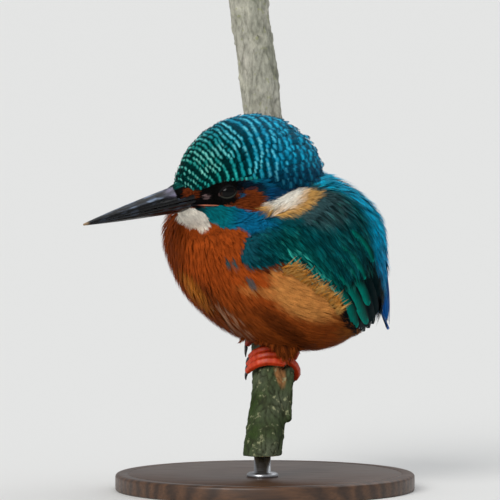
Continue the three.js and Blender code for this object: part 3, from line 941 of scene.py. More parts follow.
def horn_material(name, roughness, gloss):
    """Painted horn or bare skin, with faint growth lines and smears."""
    nodes = Nodes(name)
    at = nodes.place()
    grain = nodes.noise(nodes.stretched(at, (1.0, 1.0, 3.0)), 700.0, 5.0, 0.6)
    smear = nodes.noise(at, 160.0, 3.0)
    colour = nodes.shaded(nodes.tint(), smear, 0.35, 0.7, 0.75, 1.25)
    rough = nodes.range(grain, 0.3, 0.7, roughness - 0.08, roughness + 0.14)
    nodes.set(base_color=colour, roughness=rough, specular_ior_level=gloss)
    nodes.bump(grain, 0.35, 0.1)
    return nodes.material


def claw_material():
    """Blackish horn, paler in streaks along the claw."""
    nodes = Nodes("claw_horn")
    streaks = nodes.noise(nodes.stretched(nodes.place(), (1.0, 0.4, 0.4)), 1500.0, 4.0)
    colour = nodes.mixed(nodes.range(streaks, 0.4, 0.75, 0.0, 1.0), srgb(22, 22, 28), srgb(92, 84, 84))
    rough = nodes.range(streaks, 0.3, 0.7, 0.26, 0.42)
    nodes.set(base_color=colour, roughness=rough, coat_weight=0.2)
    nodes.bump(streaks, 0.3, 0.08)
    return nodes.material


def eye_material():
    """A dark brown iris round a black pupil, under a wet surface."""
    nodes = Nodes("eye_wet")
    fine = nodes.noise(nodes.place(), 1800.0, 3.0)
    colour = nodes.shaded(nodes.tint(), fine, 0.3, 0.7, 0.7, 1.2)
    nodes.set(base_color=colour, roughness=0.08, specular_ior_level=0.14)
    return nodes.material


def foot_material():
    """Coral red skin with darker lines between the scutes."""
    nodes = Nodes("foot_scales")
    at = nodes.place()
    scales = nodes.add("TexVoronoi", {"Vector": at, "Scale": 1900.0}, feature="DISTANCE_TO_EDGE")
    grain = scales.outputs["Distance"]
    patches = nodes.noise(at, 350.0, 4.0)
    colour = nodes.shaded(nodes.tint(), patches, 0.3, 0.7, 0.78, 1.15)
    colour = nodes.mixed(nodes.range(grain, 0.0, 0.12, 0.18, 0.0), colour, srgb(120, 24, 12))
    rough = nodes.range(grain, 0, 0.2, 0.5, 0.38)
    nodes.set(base_color=colour, roughness=rough, specular_ior_level=0.4)
    nodes.bump(grain, 0.18, 0.12)
    return nodes.material


def bark_material():
    """Grey-green bark, mossy and flecked low down, smoother and greyer with lichen above."""
    nodes = Nodes("bark")
    at = nodes.place()
    broad = nodes.noise(at, 130.0, 5.0, 0.6)
    fine = nodes.noise(nodes.stretched(at, (1.0, 1.0, 0.4)), 900.0, 6.0, 0.65)
    spots = nodes.noise(at, 420.0, 3.0, 0.6)
    moss = nodes.mixed(nodes.range(broad, 0.45, 0.7, 0.0, 0.35), nodes.tint(), srgb(60, 66, 42))
    flecks = nodes.mixed(nodes.range(spots, 0.60, 0.68, 0.0, 0.75), moss, srgb(158, 160, 122))
    colour = nodes.shaded(flecks, fine, 0.3, 0.7, 0.55, 1.3)
    rough = nodes.range(fine, 0.3, 0.7, 0.75, 0.95)
    nodes.set(base_color=colour, roughness=rough, specular_ior_level=0.25)
    nodes.bump(fine, 0.7, 0.5)
    return nodes.material


def wood_material():
    """Oiled walnut with its rings and pores running along Y."""
    nodes = Nodes("stand_walnut")
    at = nodes.place()
    rings = nodes.waves(nodes.stretched(at, (1.0, 0.18, 1.0)), 90.0, 5.0, 3.0, 1.5, "X")
    pores = nodes.noise(nodes.stretched(at, (1.0, 0.06, 1.0)), 1400.0, 3.0)
    colour = nodes.mixed(nodes.range(rings, 0, 1, 0.1, 0.9), srgb(52, 34, 22), srgb(92, 62, 40))
    colour = nodes.shaded(colour, pores, 0.35, 0.65, 0.72, 1.12)
    nodes.set(base_color=colour, roughness=nodes.range(pores, 0.3, 0.7, 0.5, 0.36))
    nodes.set(coat_weight=0.12, coat_roughness=0.35)
    nodes.bump(pores, 0.2, 0.1)
    return nodes.material


def steel_material():
    nodes = Nodes("stand_brushed_steel")
    lines = nodes.noise(nodes.stretched(nodes.place(), (1.0, 1.0, 30.0)), 260.0, 4.0)
    colour = nodes.mixed(nodes.range(lines, 0.3, 0.7, 0, 1), srgb(150, 152, 156), srgb(188, 190, 194))
    nodes.set(base_color=colour, metallic=1.0, roughness=nodes.range(lines, 0.3, 0.7, 0.26, 0.42))
    nodes.bump(lines, 0.1, 0.05)
    return nodes.material


def floor_material():
    nodes = Nodes("studio_floor")
    nodes.set(base_color=(0.80, 0.80, 0.79, 1.0), roughness=0.9, specular_ior_level=0.1)
    return nodes.material


def backdrop_material():
    """Glows as pale as the lit floor looks, so that the floor's edge doesn't show."""
    nodes = Nodes("studio_backdrop")
    nodes.set(base_color=(0.0, 0.0, 0.0, 1.0), roughness=1.0, specular_ior_level=0.0)
    nodes.set(emission_color=(0.775, 0.783, 0.777, 1.0), emission_strength=1.0)
    return nodes.material


# ---------------------------------------------------------------- skin


FLESH = ("head", "neck", "trunk", "wing_left", "wing_right")


def make_outline():
    """The plumage's outer surface: the flesh nodes as one form, with the eye sockets filled."""
    return rebuilt("outline", (*FLESH, "eye_left", "eye_right"), voxel=0.8, rounds=8, grow=0.25)


def make_skin(mesh, outline):
    """The skin lies inside the outline by the depth of the coat."""
    skin = mesh.copy()
    skin.name = "skin"
    move_points(skin, outline.points - outline.normals * coat_depth(outline.points)[:, None])
    paint(skin, markings(outline.points))
    return finish_piece(new_object(skin), skin_material(), "body_feathers", *FLESH)


# ---------------------------------------------------------------- coats


def row_place(polar, around):
    """The rows of the crown run further back over its top than at its sides."""
    return polar + 20 * ease(polar, 10, 52) * np.cos(around) ** 2


def crown_row(outline, polar, edge, rng):
    """The roots of one wavering row, evenly spaced over the head out to an edge on each side."""
    def bent(around):
        waver = np.sin(5.3 * around + 0.09 * polar) + 0.6 * np.sin(12.0 * around + 0.21 * polar)
        return row_place(polar, around) + 1.1 * waver * ease(polar, 8, 40)
    line = np.radians(np.linspace(-edge, edge, 80))
    spots = outline.seen_from(HEAD_CENTRE, head_ways(np.radians(bent(line)), line))
    gone = np.concatenate([[0.0], np.linalg.norm(np.diff(spots, axis=0), axis=1).cumsum()])
    step = np.interp(polar, (9, 25, 50, 85, 110), (0.75, 0.95, 1.2, 1.5, 1.8))
    count = max(3, round(gone[-1] / step))
    around = np.interp(np.linspace(0, gone[-1], count) + 0.15 * step * rng.normal(size=count), gone, line)
    loose = 0.2 + 1.9 * ease(polar, 50, 90)
    place = np.radians(bent(around) + loose * rng.normal(size=count))
    return outline.seen_from(HEAD_CENTRE, head_ways(place, around))


def crown_rows(outline, rng):
    """Rows of roots across the head, from the bill to the nape, with short rows between where they spread."""
    roots, polar = [], 8.5
    while polar < 142:
        gap = np.interp(polar, (9, 25, 50, 90), (1.15, 1.8, 2.35, 2.5))
        spots = crown_row(outline, polar, np.interp(polar, *CROWN_EDGE) - rng.uniform(1, 5), rng)
        roots.append(spots)
        step = math.degrees(gap / np.linalg.norm(spots - HEAD_CENTRE, axis=1).mean())
        spread = (row_place(polar + step, 0.0) - row_place(polar, 0.0)) / step
        if spread > 1.5:
            roots.append(crown_row(outline, polar + 0.5 * step, rng.uniform(28.0, 44.0), rng))
        polar += step
    return np.concatenate(roots)


def brow_roots(outline):
    """A line of small roots over the eye on each side."""
    polar = np.array([33.0, 37.0, 40.8, 44.8, 48.8, 53.0, 57.5])
    around = np.interp(polar, *CROWN_EDGE) - 0.5
    lines = [head_ways(np.radians(polar), side * np.radians(around)) for side in SIDES]
    return np.concatenate([outline.seen_from(HEAD_CENTRE, ways) for ways in lines])


def crown_bars(outline, rng):
    roots = crown_rows(outline, rng)
    polar, _, _ = head_polar(roots)
    length = np.interp(polar, (9, 30, 70, 120), (2.5, 4.1, 5.0, 5.4)) * rng.uniform(0.96, 1.04, len(roots))
    half = np.interp(polar, (9, 25, 50, 110), (0.55, 0.75, 0.95, 1.15))
    rough = ease(polar, 70, 110)
    above = rng.uniform(0.1, 0.45, len(roots)) + 1.3 * rough * rng.random(len(roots)) ** 2
    stray = rng.normal(size=len(roots)) * (0.06 + 0.16 * rough)
    bars = Feathers.laid(outline, roots, length, half, above, stray)
    bars.tint = crown_colour(bars.shafts[:, 3])
    return bars


def crown_fill(outline, rng):
    """Dark strands that close the gaps between the barred feathers."""
    roots = outline.scatter(0.85, lambda points: zone_masks(points)["crown"] > 0.4, rng)
    polar, _, _ = head_polar(roots)
    length = np.interp(polar, (9, 40), (1.8, 3.6)) * rng.uniform(0.8, 1.2, len(roots))
    stray = 0.2 * rng.normal(size=len(roots))
    above = 1.0 * rng.random(len(roots)) ** 5 - 0.25
    fill = Feathers.laid(outline, roots, length, 0.4, above, stray)
    fill.tint = fill.tint * np.interp(polar, (40, 100), (0.2, 0.6))[:, None]
    return fill


def crown_coat(outline, material, rng):
    """Bright bars across dark feathers, dark strands between them and a line of dots over each eye."""
    bars = crown_bars(outline, rng)
    webs = [
        vane(16, rng, lean=0.15, ragged=0.12, notch=0.3, fullness=3.6, early=0.85, camber=0.2)
        for _ in range(8)]
    fill = crown_fill(outline, rng)
    strands = [hair_tuft(4, rng) for _ in range(5)]
    brow = Feathers.laid(outline, brow_roots(outline), 1.5, 0.48, 0.5)
    brow.tint = np.broadcast_to(COLOURS["crown_front"], brow.tint.shape)
    dots = [vane(8, rng, lean=0.2, camber=0.3)]
    return coat("crown_feathers", [
        (bars, webs, barred(1, crown_spot, crown_strength)),
        (fill, strands, streaked(0.5, 3, root=0.3, barbs=0.6)),
        (brow, dots, barred(5, crown_spot, crown_strength, 0.6, 0.4)),
    ], material, "head_feathers")


def face_coat(outline, material, rng):
    """Short tufts over the face and throat, with finer ones round the bill and the eyes."""
    def keep(points):
        zones = zone_masks(points)
        polar, around, level = head_polar(points)
        near = (level < 1.22) | (zones["patch"] > 0.3) | (zones["malar"] > 0.3)
        clear_of_bill = polar > np.where(around > 110, 3.5, 7.0)
        on_mantle = zones["upper"] * (1 - zones["patch"]) * (polar > 70) >= 0.9
        return near & clear_of_bill & (zones["crown"] < 0.7) & ~on_mantle

    def spacing(points):
        polar, _, _ = head_polar(points)
        zones = zone_masks(points)
        closer = 1 - 0.3 * (zones["patch"] + zones["throat"])
        return np.interp(polar, (8, 30, 70), (0.45, 0.6, 0.72)) * closer
    roots = outline.scatter(spacing, keep, rng)
    polar, _, _ = head_polar(roots)
    length = np.interp(polar, (8, 25, 60), (1.5, 2.5, 4.0)) + 0.6 * zone_masks(roots)["patch"]
    length = length * rng.uniform(0.85, 1.15, len(roots))
    stray = 0.1 * rng.normal(size=len(roots))
    above = 0.2 * rng.random(len(roots))
    tufts = Feathers.laid(outline, roots, length, 0.15 * length, above, stray)
    shapes = [hair_tuft(6, rng) for _ in range(5)]
    webs = [vane(9, rng, lean=0.2, ragged=0.15, notch=0.4, fullness=2.4) for _ in range(4)]
    return coat("face_feathers", [
        (tufts, shapes, streaked(0.06, 11, root=0.85, barbs=0.2)),
        (bill_feathers(rng), webs, streaked(0.2, 13, root=0.3, barbs=0.5)),
        (lid_feathers(outline, rng), shapes, streaked(0.1, 15, root=0.8, barbs=0.2)),
    ], material, "head_feathers")


def under_coat(outline, material, rng):
    """Long soft tufts over the breast and belly, fullest in front, with a fringe and thigh tufts."""
    def keep(points):
        _, _, level = head_polar(points)
        return (zone_masks(points)["upper"] < 0.6) & (level > 1.14)

    def spacing(points):
        return np.interp(points[:, 2], (45, 60, 85), (1.0, 0.95, 0.85))
    roots = outline.scatter(spacing, keep, rng)
    length = np.interp(roots[:, 2], (45, 65, 86), (8.5, 7.5, 4.8)) * rng.uniform(0.8, 1.15, len(roots))
    stray = 0.1 * rng.normal(size=len(roots))
    above = 0.9 * ease(roots[:, 1], -8, -20) + 0.35 * rng.random(len(roots))
    tufts = Feathers.laid(outline, roots, length, 0.12 * length, above, stray)
    shapes = [hair_tuft(10, rng, wide=1.7) for _ in range(8)]
    fringe, strands = flank_fringe(outline, rng)
    return coat("under_feathers", [
        (tufts, shapes, streaked(0.05, 21, root=0.85, barbs=0.12)),
        (fringe, strands, streaked(0.2, 23, root=0.6)),
        (thigh_tufts(rng), shapes, streaked(0.15, 25, root=0.7, barbs=0.4)),
    ], material, "body_feathers")


def flank_fringe(outline, rng):
    """Golden barbs of the flank that curl up over the lower edge of each wing."""
    shafts = []
    share = np.linspace(0, 1, 5)[:, None]
    for side in SIDES:
        for y in rng.uniform(4.5, 21.5, 210):
            z = np.interp(y, *WING_LOWER) - rng.uniform(0.2, 3.0)
            reach = rng.uniform(3.0, 6.0)
            slope = math.radians(rng.uniform(15, 55))
            way = np.array([math.cos(slope), math.sin(slope)])
            spots = on_side(outline, np.array([y, z]) + reach * way * share, side)
            spots[:, 0] += side * np.linspace(-0.3, 1.4, len(spots))
            shafts.append(spots)
    shafts = np.array(shafts)
    facing = np.sign(shafts[:, :1, :1]) * np.array([0.9, 0.0, 0.0]) + np.array([0.0, 0.1, -0.3])
    tints = mix(COLOURS["golden"], COLOURS["buff"], rng.random(len(shafts)))
    strands = [hair_tuft(3, rng, wide=0.75) for _ in range(5)]
    return Feathers.strung(shafts, facing, 0.34, tints), strands


def thigh_tufts(rng):
    """Loose barbs of the belly that hang over the front of each foot."""
    shafts, facing = [], []
    share = np.linspace(0, 1, 6)[:, None]
    for side, name in SIDES.items():
        low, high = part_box(f"leg_{name}")
        middle = np.array([(low.x + high.x) / 2, (low.y + high.y) / 2, high.z]) / MM
        for _ in range(300):
            out, back = rng.uniform(0.5, 6.0), 3.0 * rng.normal()
            start = middle + np.array([side * out, back - 1.4, rng.uniform(-3.0, 0.5)])
            drop = (3.0 + 6.0 * math.exp(-(back / 3.4) ** 2)) * rng.uniform(0.75, 1.1)
            run = np.array([side * 0.8, 1.2 + 0.25 * back + 0.6 * rng.normal(), -drop])
            bend = np.sin(math.pi * share) * np.array([side * 0.8, 0.0, 0.0])
            shafts.append(start + run * share + bend)
            facing.append([[side, -0.2, -0.1]])
    # Tones run from the belly's orange to the crease colour: partly the barbs' own darker brown, partly
    # painted shade under the belly.
    tints = mix(COLOURS["belly"], COLOURS["crease"], rng.random(len(shafts)))
    return Feathers.strung(np.array(shafts), np.array(facing), 0.8, tints)


def covert_bright(feathers):
    """Some coverts have pale streaks, most of all along the wing's lower edge."""
    spots = feathers.shafts[:, 3]
    streak = np.random.default_rng(33).random(len(feathers)) > 0.7
    low = ease(over_wing_edge(spots), 9, 3) * ease(spots[:, 1], 1, 9)
    return 0.1 + 0.35 * streak + low * (0.35 + 1.1 * streak)


def mantle_coat(outline, side, material, rng):
    """Loose webs over the shoulder and the folded wing of one side, with pale flecks low down."""
    def keep(points):
        zones = zone_masks(points)
        polar, _, level = head_polar(points)
        free = (zones["stripe"] < 0.6) & (zones["patch"] < 0.4) & (zones["crown"] < 0.4)
        free = free & ((level > 1.08) | (polar > 105)) & (above_flight(points) > 4.5)
        return free & (zones["upper"] > 0.35) & (points[:, 0] * side > 0)

    def near_edge(points):
        above = over_wing_edge(points)
        return keep(points) & (above > 1.0) & (above < 6.5) & (points[:, 1] > 6)
    roots = outline.scatter(0.9, keep, rng)
    length = np.interp(over_wing_edge(roots), (0, 8, 20), (3.6, 6.2, 7.5))
    length = length * rng.uniform(0.8, 1.15, len(roots))
    stray = 0.12 * rng.normal(size=len(roots))
    above = 0.3 * rng.random(len(roots))
    webs = Feathers.laid(outline, roots, length, 0.11 * length, above, stray)
    shapes = [hair_tuft(8, rng) for _ in range(5)]
    roots = outline.scatter(1.5, near_edge, rng)
    stray = 0.25 * rng.normal(size=len(roots))
    length = rng.uniform(2.4, 4.4, len(roots))
    flecks = Feathers.laid(outline, roots, length, 0.3, 0.5, stray, sunk=0.4)
    flecks.tint = mix(COLOURS["coverts"], COLOURS["covert_tip"], rng.uniform(0.25, 0.9, len(roots)))
    splinters = [hair_tuft(3, rng) for _ in range(4)]
    return coat(f"mantle_feathers_{SIDES[side]}", [
        (webs, shapes, tipped(31, covert_spot, covert_bright, edge=0.2, barbs=0.7)),
        (flecks, splinters, streaked(0.2, 35, root=0.3, barbs=0.5)),
    ], material, "wing_feathers")


def stripe_coat(outline, material, rng):
    """The bright stripe: long silky strands from the nape to the rump."""
    def keep(points):
        zones = zone_masks(points)
        low = ease(points[:, 2], 68, 58)
        return (zones["stripe"] > 0.3 + 0.5 * low) & (zones["crown"] < 0.6) & (points[:, 2] > 55)
    roots = outline.scatter(1.0, keep, rng)
    length = rng.uniform(5.5, 8.5, len(roots))
    stray = 0.08 * rng.normal(size=len(roots))
    above = 1.3 * rng.random(len(roots)) ** 3
    plumes = Feathers.laid(outline, roots, length, 1.0, above, stray)
    shapes = [hair_tuft(9, rng, loose=0.2) for _ in range(5)]
    return coat("back_feathers", [
        (plumes, shapes, tipped(41, own_bright(1.25), 0.7, edge=0.1)),
    ], material, "wing_feathers")


# ---------------------------------------------------------------- bill


def circle(corners):
    """Points round a circle of radius 1, as (count, 2), and their angles."""
    turn = np.linspace(0, 2 * math.pi, corners, endpoint=False)
    return np.stack([np.cos(turn), np.sin(turn)], 1), turn


def wall_faces(count, corners):
    """Triangles between each of count rings of points and the next."""
    faces = []
    for i in range(count - 1):
        for j in range(corners):
            a, b = i * corners + j, i * corners + (j + 1) % corners
            faces += [(a, b, b + corners), (a, b + corners, a + corners)]
    return faces


def tube(rings):
    """Triangles of a closed tube through rings of points (count, corners, 3), with its ends closed."""
    count, corners, _ = rings.shape
    points = np.concatenate([rings.reshape(-1, 3), rings[0].mean(0)[None], rings[-1].mean(0)[None]])
    faces = wall_faces(count, corners)
    last, start, end = (count - 1) * corners, count * corners, count * corners + 1
    for j in range(corners):
        k = (j + 1) % corners
        faces += [(k, j, start), (last + j, last + k, end)]
    return points, np.array(faces)


def bill_surface(run, turn, is_upper):
    """Points on half the bill, run millimetres in front of the feathers, and their share of its height."""
    forward, left, up = turn_axes(HEAD["yaw"], BILL["pitch"])
    aside = math.tan(math.radians(HEAD["yaw"])) * (HEAD_CENTRE[1] - BILL["edge"][0])
    start = np.array([HEAD_CENTRE[0] + aside, *BILL["edge"]])
    to_tip = np.clip(1 - run / BILL["length"], 0, BILL["widest"])
    size = BILL["point"] + (1 - BILL["point"]) * to_tip ** BILL["bulge"]
    depth = (BILL["upper_depth"] if is_upper else BILL["lower_depth"]) * size
    sense = 1 if is_upper else -1
    height = sense * np.maximum(sense * np.sin(turn), -BILL["flank"])
    ridge = ease(sense * height, 0.25, 1.0)
    side = np.cos(turn) * (1 - 0.22 * ridge) * BILL["half_width"] * size
    slot = blob(run, height, (4.6, 0.36), (2.4, 0.13)) if is_upper else 0.0
    groove = 0.10 * ease(np.abs(sense * height - 0.3), 0.16, 0.04) * ease(run, 22, 8)
    side = side * (1 - groove) - np.sign(side) * 0.5 * slot
    gap = BILL_GAPE * (0.2 + 0.8 * ease(to_tip, 0.05, 0.5))
    inset = sense * (0.5 * gap + BILL["flank"] * depth)
    run, side, rise = (v[..., None] for v in (run, side, inset + height * depth))
    return start + run * forward + side * left + rise * up, height * sense


def bill_tint(run, height, turn, is_upper):
    """Black horn with painted bluish highlights in streaks and along the ridge, a painted lilac-grey
    reflection near the feathers, reddish at the gape, with a pale point.
    """
    streaks = sway(np.stack([0.07 * run, 0.9 * turn, np.zeros_like(run)], 1), 0.26, 9)
    highlight_streaks = ease(streaks, -0.15, 0.3)
    # Bluish streaks on the black horn: painted highlight.
    tint = mix(srgb(3, 4, 6), srgb(44, 52, 64), 0.8 * ease(streaks, 0.25, 0.55))
    if is_upper:
        # Pale bluish-grey line along the ridge and a band lower on the side: painted highlight.
        ridge = ease(height, 0.93, 0.99) + 0.9 * blob(run, height, (9.0, 0.62), (11.0, 0.09), -0.3)
        ridge = np.clip(ridge, 0, 1) * (0.15 + 0.85 * highlight_streaks) * ease(run, 32, 24)
        tint = mix(tint, srgb(118, 134, 158), ridge)
        # Lilac grey at the root of the upper bill: painted reflection.
        lilac = ease(height, 0.28, 0.45) * ease(run, 6.5, 1.5)
        tint = mix(tint, srgb(124, 118, 142), 0.9 * lilac * (0.45 + 0.55 * highlight_streaks))
    tint = mix(tint, srgb(160, 134, 104), ease(run, 31.5, 33.2))
    gape = ease(height, 0.10, 0.0) * ease(run, -6.0, -7.5)
    return mix(tint, srgb(176, 100, 78), 0.9 * gape)


def make_bill(material):
    _, corners = circle(72)
    runs = np.concatenate([np.linspace(-BILL["hidden"], 12, 70), np.linspace(12.4, BILL["length"], 50)])
    run, turn = (v.ravel() for v in np.meshgrid(runs, corners, indexing="ij"))
    for half in ("upper", "lower"):
        spots, height = bill_surface(run, turn, half == "upper")
        points, faces = tube(spots.reshape(len(runs), len(corners), 3))
        tint = bill_tint(run, height, turn, half == "upper")
        ends = [tint[:len(corners)].mean(0), tint[-len(corners):].mean(0)]
        mesh = make_mesh(f"bill_{half}_horn", points, faces[:, ::-1], np.concatenate([tint, ends]))
        finish_piece(new_object(mesh), material, "bill_horn", f"bill_{half}")


def bill_feathers(rng):
    """Small feathers that grow forward over the upper bill's root: the lores and the forehead's point."""
    lines, rows = 76, 12
    turn = np.radians(np.repeat(np.linspace(14, 166, lines), rows))
    turn = turn + rng.normal(size=len(turn)) * 0.03
    edge = 0.3 + 1.6 * np.abs(np.cos(turn))
    run = edge - np.tile(np.linspace(0, 8.5, rows), lines) - rng.uniform(0, 0.9, len(turn))
    share = np.linspace(0, 1, 5)
    reach = run[:, None] - 2.1 * share
    around = np.broadcast_to(turn[:, None], reach.shape)
    surface, _ = bill_surface(reach, around, True)
    beside, _ = bill_surface(reach, around + 0.02, True)
    facing = unit(np.cross(beside - surface, FORWARD))
    facing = facing * np.sign((facing * (surface - surface.mean((0, 1)))).sum(-1, keepdims=True))
    lift = 0.05 + share * rng.uniform(0.35, 0.6, (len(turn), 1))
    slant = np.degrees(np.abs(np.abs(turn) - math.pi / 2))
    tint = mix(COLOURS["black"], COLOURS["lore"], ease(slant, 46, 52) * ease(edge - run, 0.3, 1.2))
    tint = mix(tint, COLOURS["crown_front"], 0.5 * ease(slant, 42, 34))
    return Feathers.strung(surface + facing * lift[:, :, None], facing, 0.42, tint)


# ---------------------------------------------------------------- eyes and lids


EYE_OPENING = {"length": 2.5, "upper": 1.4, "lower": 1.35}
# From the lid's edge over the bare ring and under the feathers: distance out and height over the eyeball.
LID_PROFILE = (
    (-0.02, -0.3), (0.0, 0.14), (0.14, 0.26), (0.34, 0.24),
    (0.6, 0.1), (0.85, 0.12), (1.2, -0.1), (2.0, -0.9))


def eye_axes(side):
    """Where an eye looks, and the directions along and up across its opening."""
    look = unit(0.86 * side * LEFT + 0.47 * FORWARD + 0.10 * UP)
    along = unit(in_plane(FORWARD - 0.10 * UP, look))
    return look, along, np.cross(along, look) * side


def eye_centre(side):
    return head_point(EYE["forward"], side * EYE["side"], EYE["up"])


def eye_ball(side, material):
    """An eyeball with a black pupil, a dark iris and a slightly raised clear front."""
    look, along, up = eye_axes(side)
    steps = np.linspace(0.02, math.pi - 0.02, 48)
    ring, turn = circle(64)
    bulge = 1 - 0.012 * ease(steps, 0.5, 0.9)
    sideways = ring @ np.stack([along, up])
    ways = np.cos(steps)[:, None, None] * look + np.sin(steps)[:, None, None] * sideways
    rings = eye_centre(side) + EYE["radius"] * bulge[:, None, None] * ways
    points, faces = tube(rings)
    angle = np.concatenate([np.repeat(steps, len(turn)), [0, math.pi]])
    tint = mix(srgb(3, 3, 3), srgb(30, 18, 11), ease(angle, 0.52, 0.60))
    tint = mix(tint, srgb(8, 6, 6), ease(angle, 0.75, 0.9))
    if np.cross(rings[1, 0] - rings[0, 0], rings[0, 1] - rings[0, 0]) @ look > 0:
        faces = faces[:, ::-1]
    mesh = make_mesh(f"eye_ball_{SIDES[side]}", points, faces, tint)
    finish_piece(new_object(mesh), material, "eye", f"eye_{SIDES[side]}")


def lid_spots(side, turn, out, rise):
    """Points round the opening of an eye, out millimetres from its edge and raised over the eyeball."""
    look, along, up = eye_axes(side)
    flat = np.cos(turn) * EYE_OPENING["length"]
    tall = np.sin(turn) * np.where(np.sin(turn) > 0, EYE_OPENING["upper"], EYE_OPENING["lower"])
    tall = tall * (1 - 0.35 * np.abs(np.cos(turn)) ** 3)
    edge = np.hypot(flat, tall)
    share = (edge + out) / edge
    a, b = flat * share, tall * share
    deep = np.sqrt(np.maximum((EYE["radius"] + rise) ** 2 - a ** 2 - b ** 2, 1.0))
    return eye_centre(side) + a[:, None] * along + b[:, None] * up + deep[:, None] * look


def lid_ring(side, material):
    """A ring of bare dark skin with an almond opening, lying on the eye and running under the feathers."""
    _, turn = circle(72)
    corner = ease(np.cos(turn), 0.86, 0.97)
    behind = ease(-np.cos(turn), 0.8, 0.95)
    rings, tints = [], []
    for out, rise in LID_PROFILE:
        rings.append(lid_spots(side, turn, out, rise))
        below = ease(-np.sin(turn), 0.1, 0.8) * ease(abs(out - 0.24), 0.3, 0.1)
        tint = mix(srgb(11, 11, 12), srgb(72, 74, 64), 0.5 * below)
        tint = mix(tint, srgb(110, 84, 82), 0.4 * corner * ease(out, -0.1, 0.3))
        tints.append(mix(tint, srgb(30, 38, 50), 0.7 * behind * ease(out, 0.2, 0.6)))
    faces = np.array(wall_faces(len(rings), len(turn)))
    if side > 0:
        faces = faces[:, ::-1]
    mesh = make_mesh(f"eye_lid_{SIDES[side]}", np.concatenate(rings), faces, np.concatenate(tints))
    finish_piece(new_object(mesh), material, "foot_skin")


def lid_feathers(outline, rng):
    """Short feathers that spread from the rim of each lid over the bare ring."""
    share = np.linspace(0, 1, 5)[:, None]
    shafts, facing, tints = [], [], []
    for side in SIDES:
        turn = rng.uniform(0, 2 * math.pi, 240)
        behind = ease(-np.cos(turn), 0.3, 0.8) * ease(np.sin(turn), 0.3, -0.3)
        tints.append(mix(COLOURS["black"], COLOURS["ear"], 0.8 * behind))
        first = rng.uniform(0.4, 0.9, len(turn))
        last = first + rng.uniform(1.5, 2.3, len(turn))
        start, over = lid_spots(side, turn, first, 0.05), lid_spots(side, turn, first + 0.8, 0.35)
        end, normals = outline.nearest(lid_spots(side, turn, last, 0.3))
        start, over, end = (v[:, None] for v in (start, over, end + 0.3 * normals))
        shafts.append((1 - share) ** 2 * start + 2 * share * (1 - share) * over + share ** 2 * end)
        facing.append(unit(shafts[-1] - eye_centre(side)))
    return Feathers.strung(np.concatenate(shafts), np.concatenate(facing), 0.26, np.concatenate(tints))


def gape_fold(side, outline, material):
    """The reddish corner of the mouth, a thin fold that runs back from the bill under the eye."""
    polar = np.radians(np.linspace(9, 25, 22))
    around = np.full(len(polar), side * math.radians(101.5))
    spots = outline.seen_from(HEAD_CENTRE, head_ways(polar, around))
    spots, normals = outline.nearest(spots)
    up = np.cross(normals, unit(np.gradient(spots, axis=0)))
    ring, turn = circle(12)
    size = 0.3 * np.sin(np.linspace(0.25, math.pi - 0.1, len(spots))) ** 0.5
    rings = spots[:, None] - 0.1 * normals[:, None] + size[:, None, None] * (
        ring[None, :, :1] * normals[:, None] + 0.75 * ring[None, :, 1:] * up[:, None])
    points, faces = tube(rings)
    share = np.concatenate([np.repeat(np.linspace(0, 1, len(spots)), len(turn)), [0, 1]])
    tint = mix(srgb(24, 22, 26), srgb(186, 110, 84), ease(share, 0.15, 0.5))
    mesh = make_mesh(f"gape_{SIDES[side]}", points, faces, tint)
    finish_piece(new_object(mesh), material, "bill_horn")


# ---------------------------------------------------------------- feet and claws


# The perch under each foot: a point of its middle line and the way it runs.
GRIPS = {
    "left": (np.array([1.5, 1.9, 35.9]), unit(np.array([-0.71, 0.03, 0.70]))),
    "right": (np.array([-13.0, 1.7, 41.2]), unit(np.array([-0.94, -0.02, 0.34]))),
}
SHANK_FROM = (10.2, 11.2)  # distance from that line over which the toes give way to the shank
SCUTE_TURN = 11.0  # degrees round the perch from one scute to the next
SHANK_RING = 1.3  # from one ring of the shank to the next


def make_foot(name, material):
    """Toes with a row of scutes along their tops, and finer scales round the shank; the far foot is darkened
    as painted shade and the middle of each scute's top lightened as painted highlight.
    """
    mesh = rebuilt(f"foot_skin_{name}", (f"foot_{name}", f"leg_{name}"), voxel=0.2, rounds=12, grow=0.24)
    points, normals = mesh_points(mesh), mesh_normals(mesh)
    centre, along = GRIPS[name]
    out = in_plane(points - centre, along)
    front = unit(in_plane(np.array([0.0, -1.0, 0.0]), along))
    up = np.cross(along, front)
    up = up if up[2] > 0 else -up
    angle = np.degrees(np.arctan2(out @ front, out @ up))
    reach = np.linalg.norm(out, axis=1)
    on_shank = ease(reach, *SHANK_FROM)
    topside = ease((normals * unit(out)).sum(1), -0.1, 0.5) * (1 - on_shank)
    ring = np.abs(np.sin(math.pi * angle / SCUTE_TURN))
    shank = np.abs(np.sin(math.pi * points[:, 2] / SHANK_RING)) * on_shank
    crease = (1 - ring) ** 4 * topside + 0.6 * (1 - shank) ** 4 * on_shank
    move_points(mesh, points + normals * (0.03 * shank - 0.015 * crease)[:, None])
    # Darker towards -X, on the far foot: painted shade.
    tint = mix(srgb(188, 50, 10), srgb(160, 38, 10), ease(points[:, 0], 3, -10))
    tint = mix(tint, srgb(186, 50, 24), 0.2 * crease)
    # Lighter in the middle of each scute's top: painted highlight.
    paint(mesh, mix(tint, srgb(222, 96, 44), 0.3 * topside * ring ** 3))
    finish_piece(new_object(mesh), material, "foot_skin", f"foot_{name}", f"leg_{name}")


def finish_claws(material):
    """The claws keep their CAD nodes, rounded by subdivision."""
    for name, node in NODES.items():
        if name.startswith("claw_"):
            weld = node.modifiers.new("weld", "WELD")
            weld.merge_threshold = 1e-5
            rounding = node.modifiers.new("rounding", "SUBSURF")
            rounding.levels = rounding.render_levels = 2
            node.data.materials.clear()
            node.data.materials.append(material)


# ---------------------------------------------------------------- perch and stand


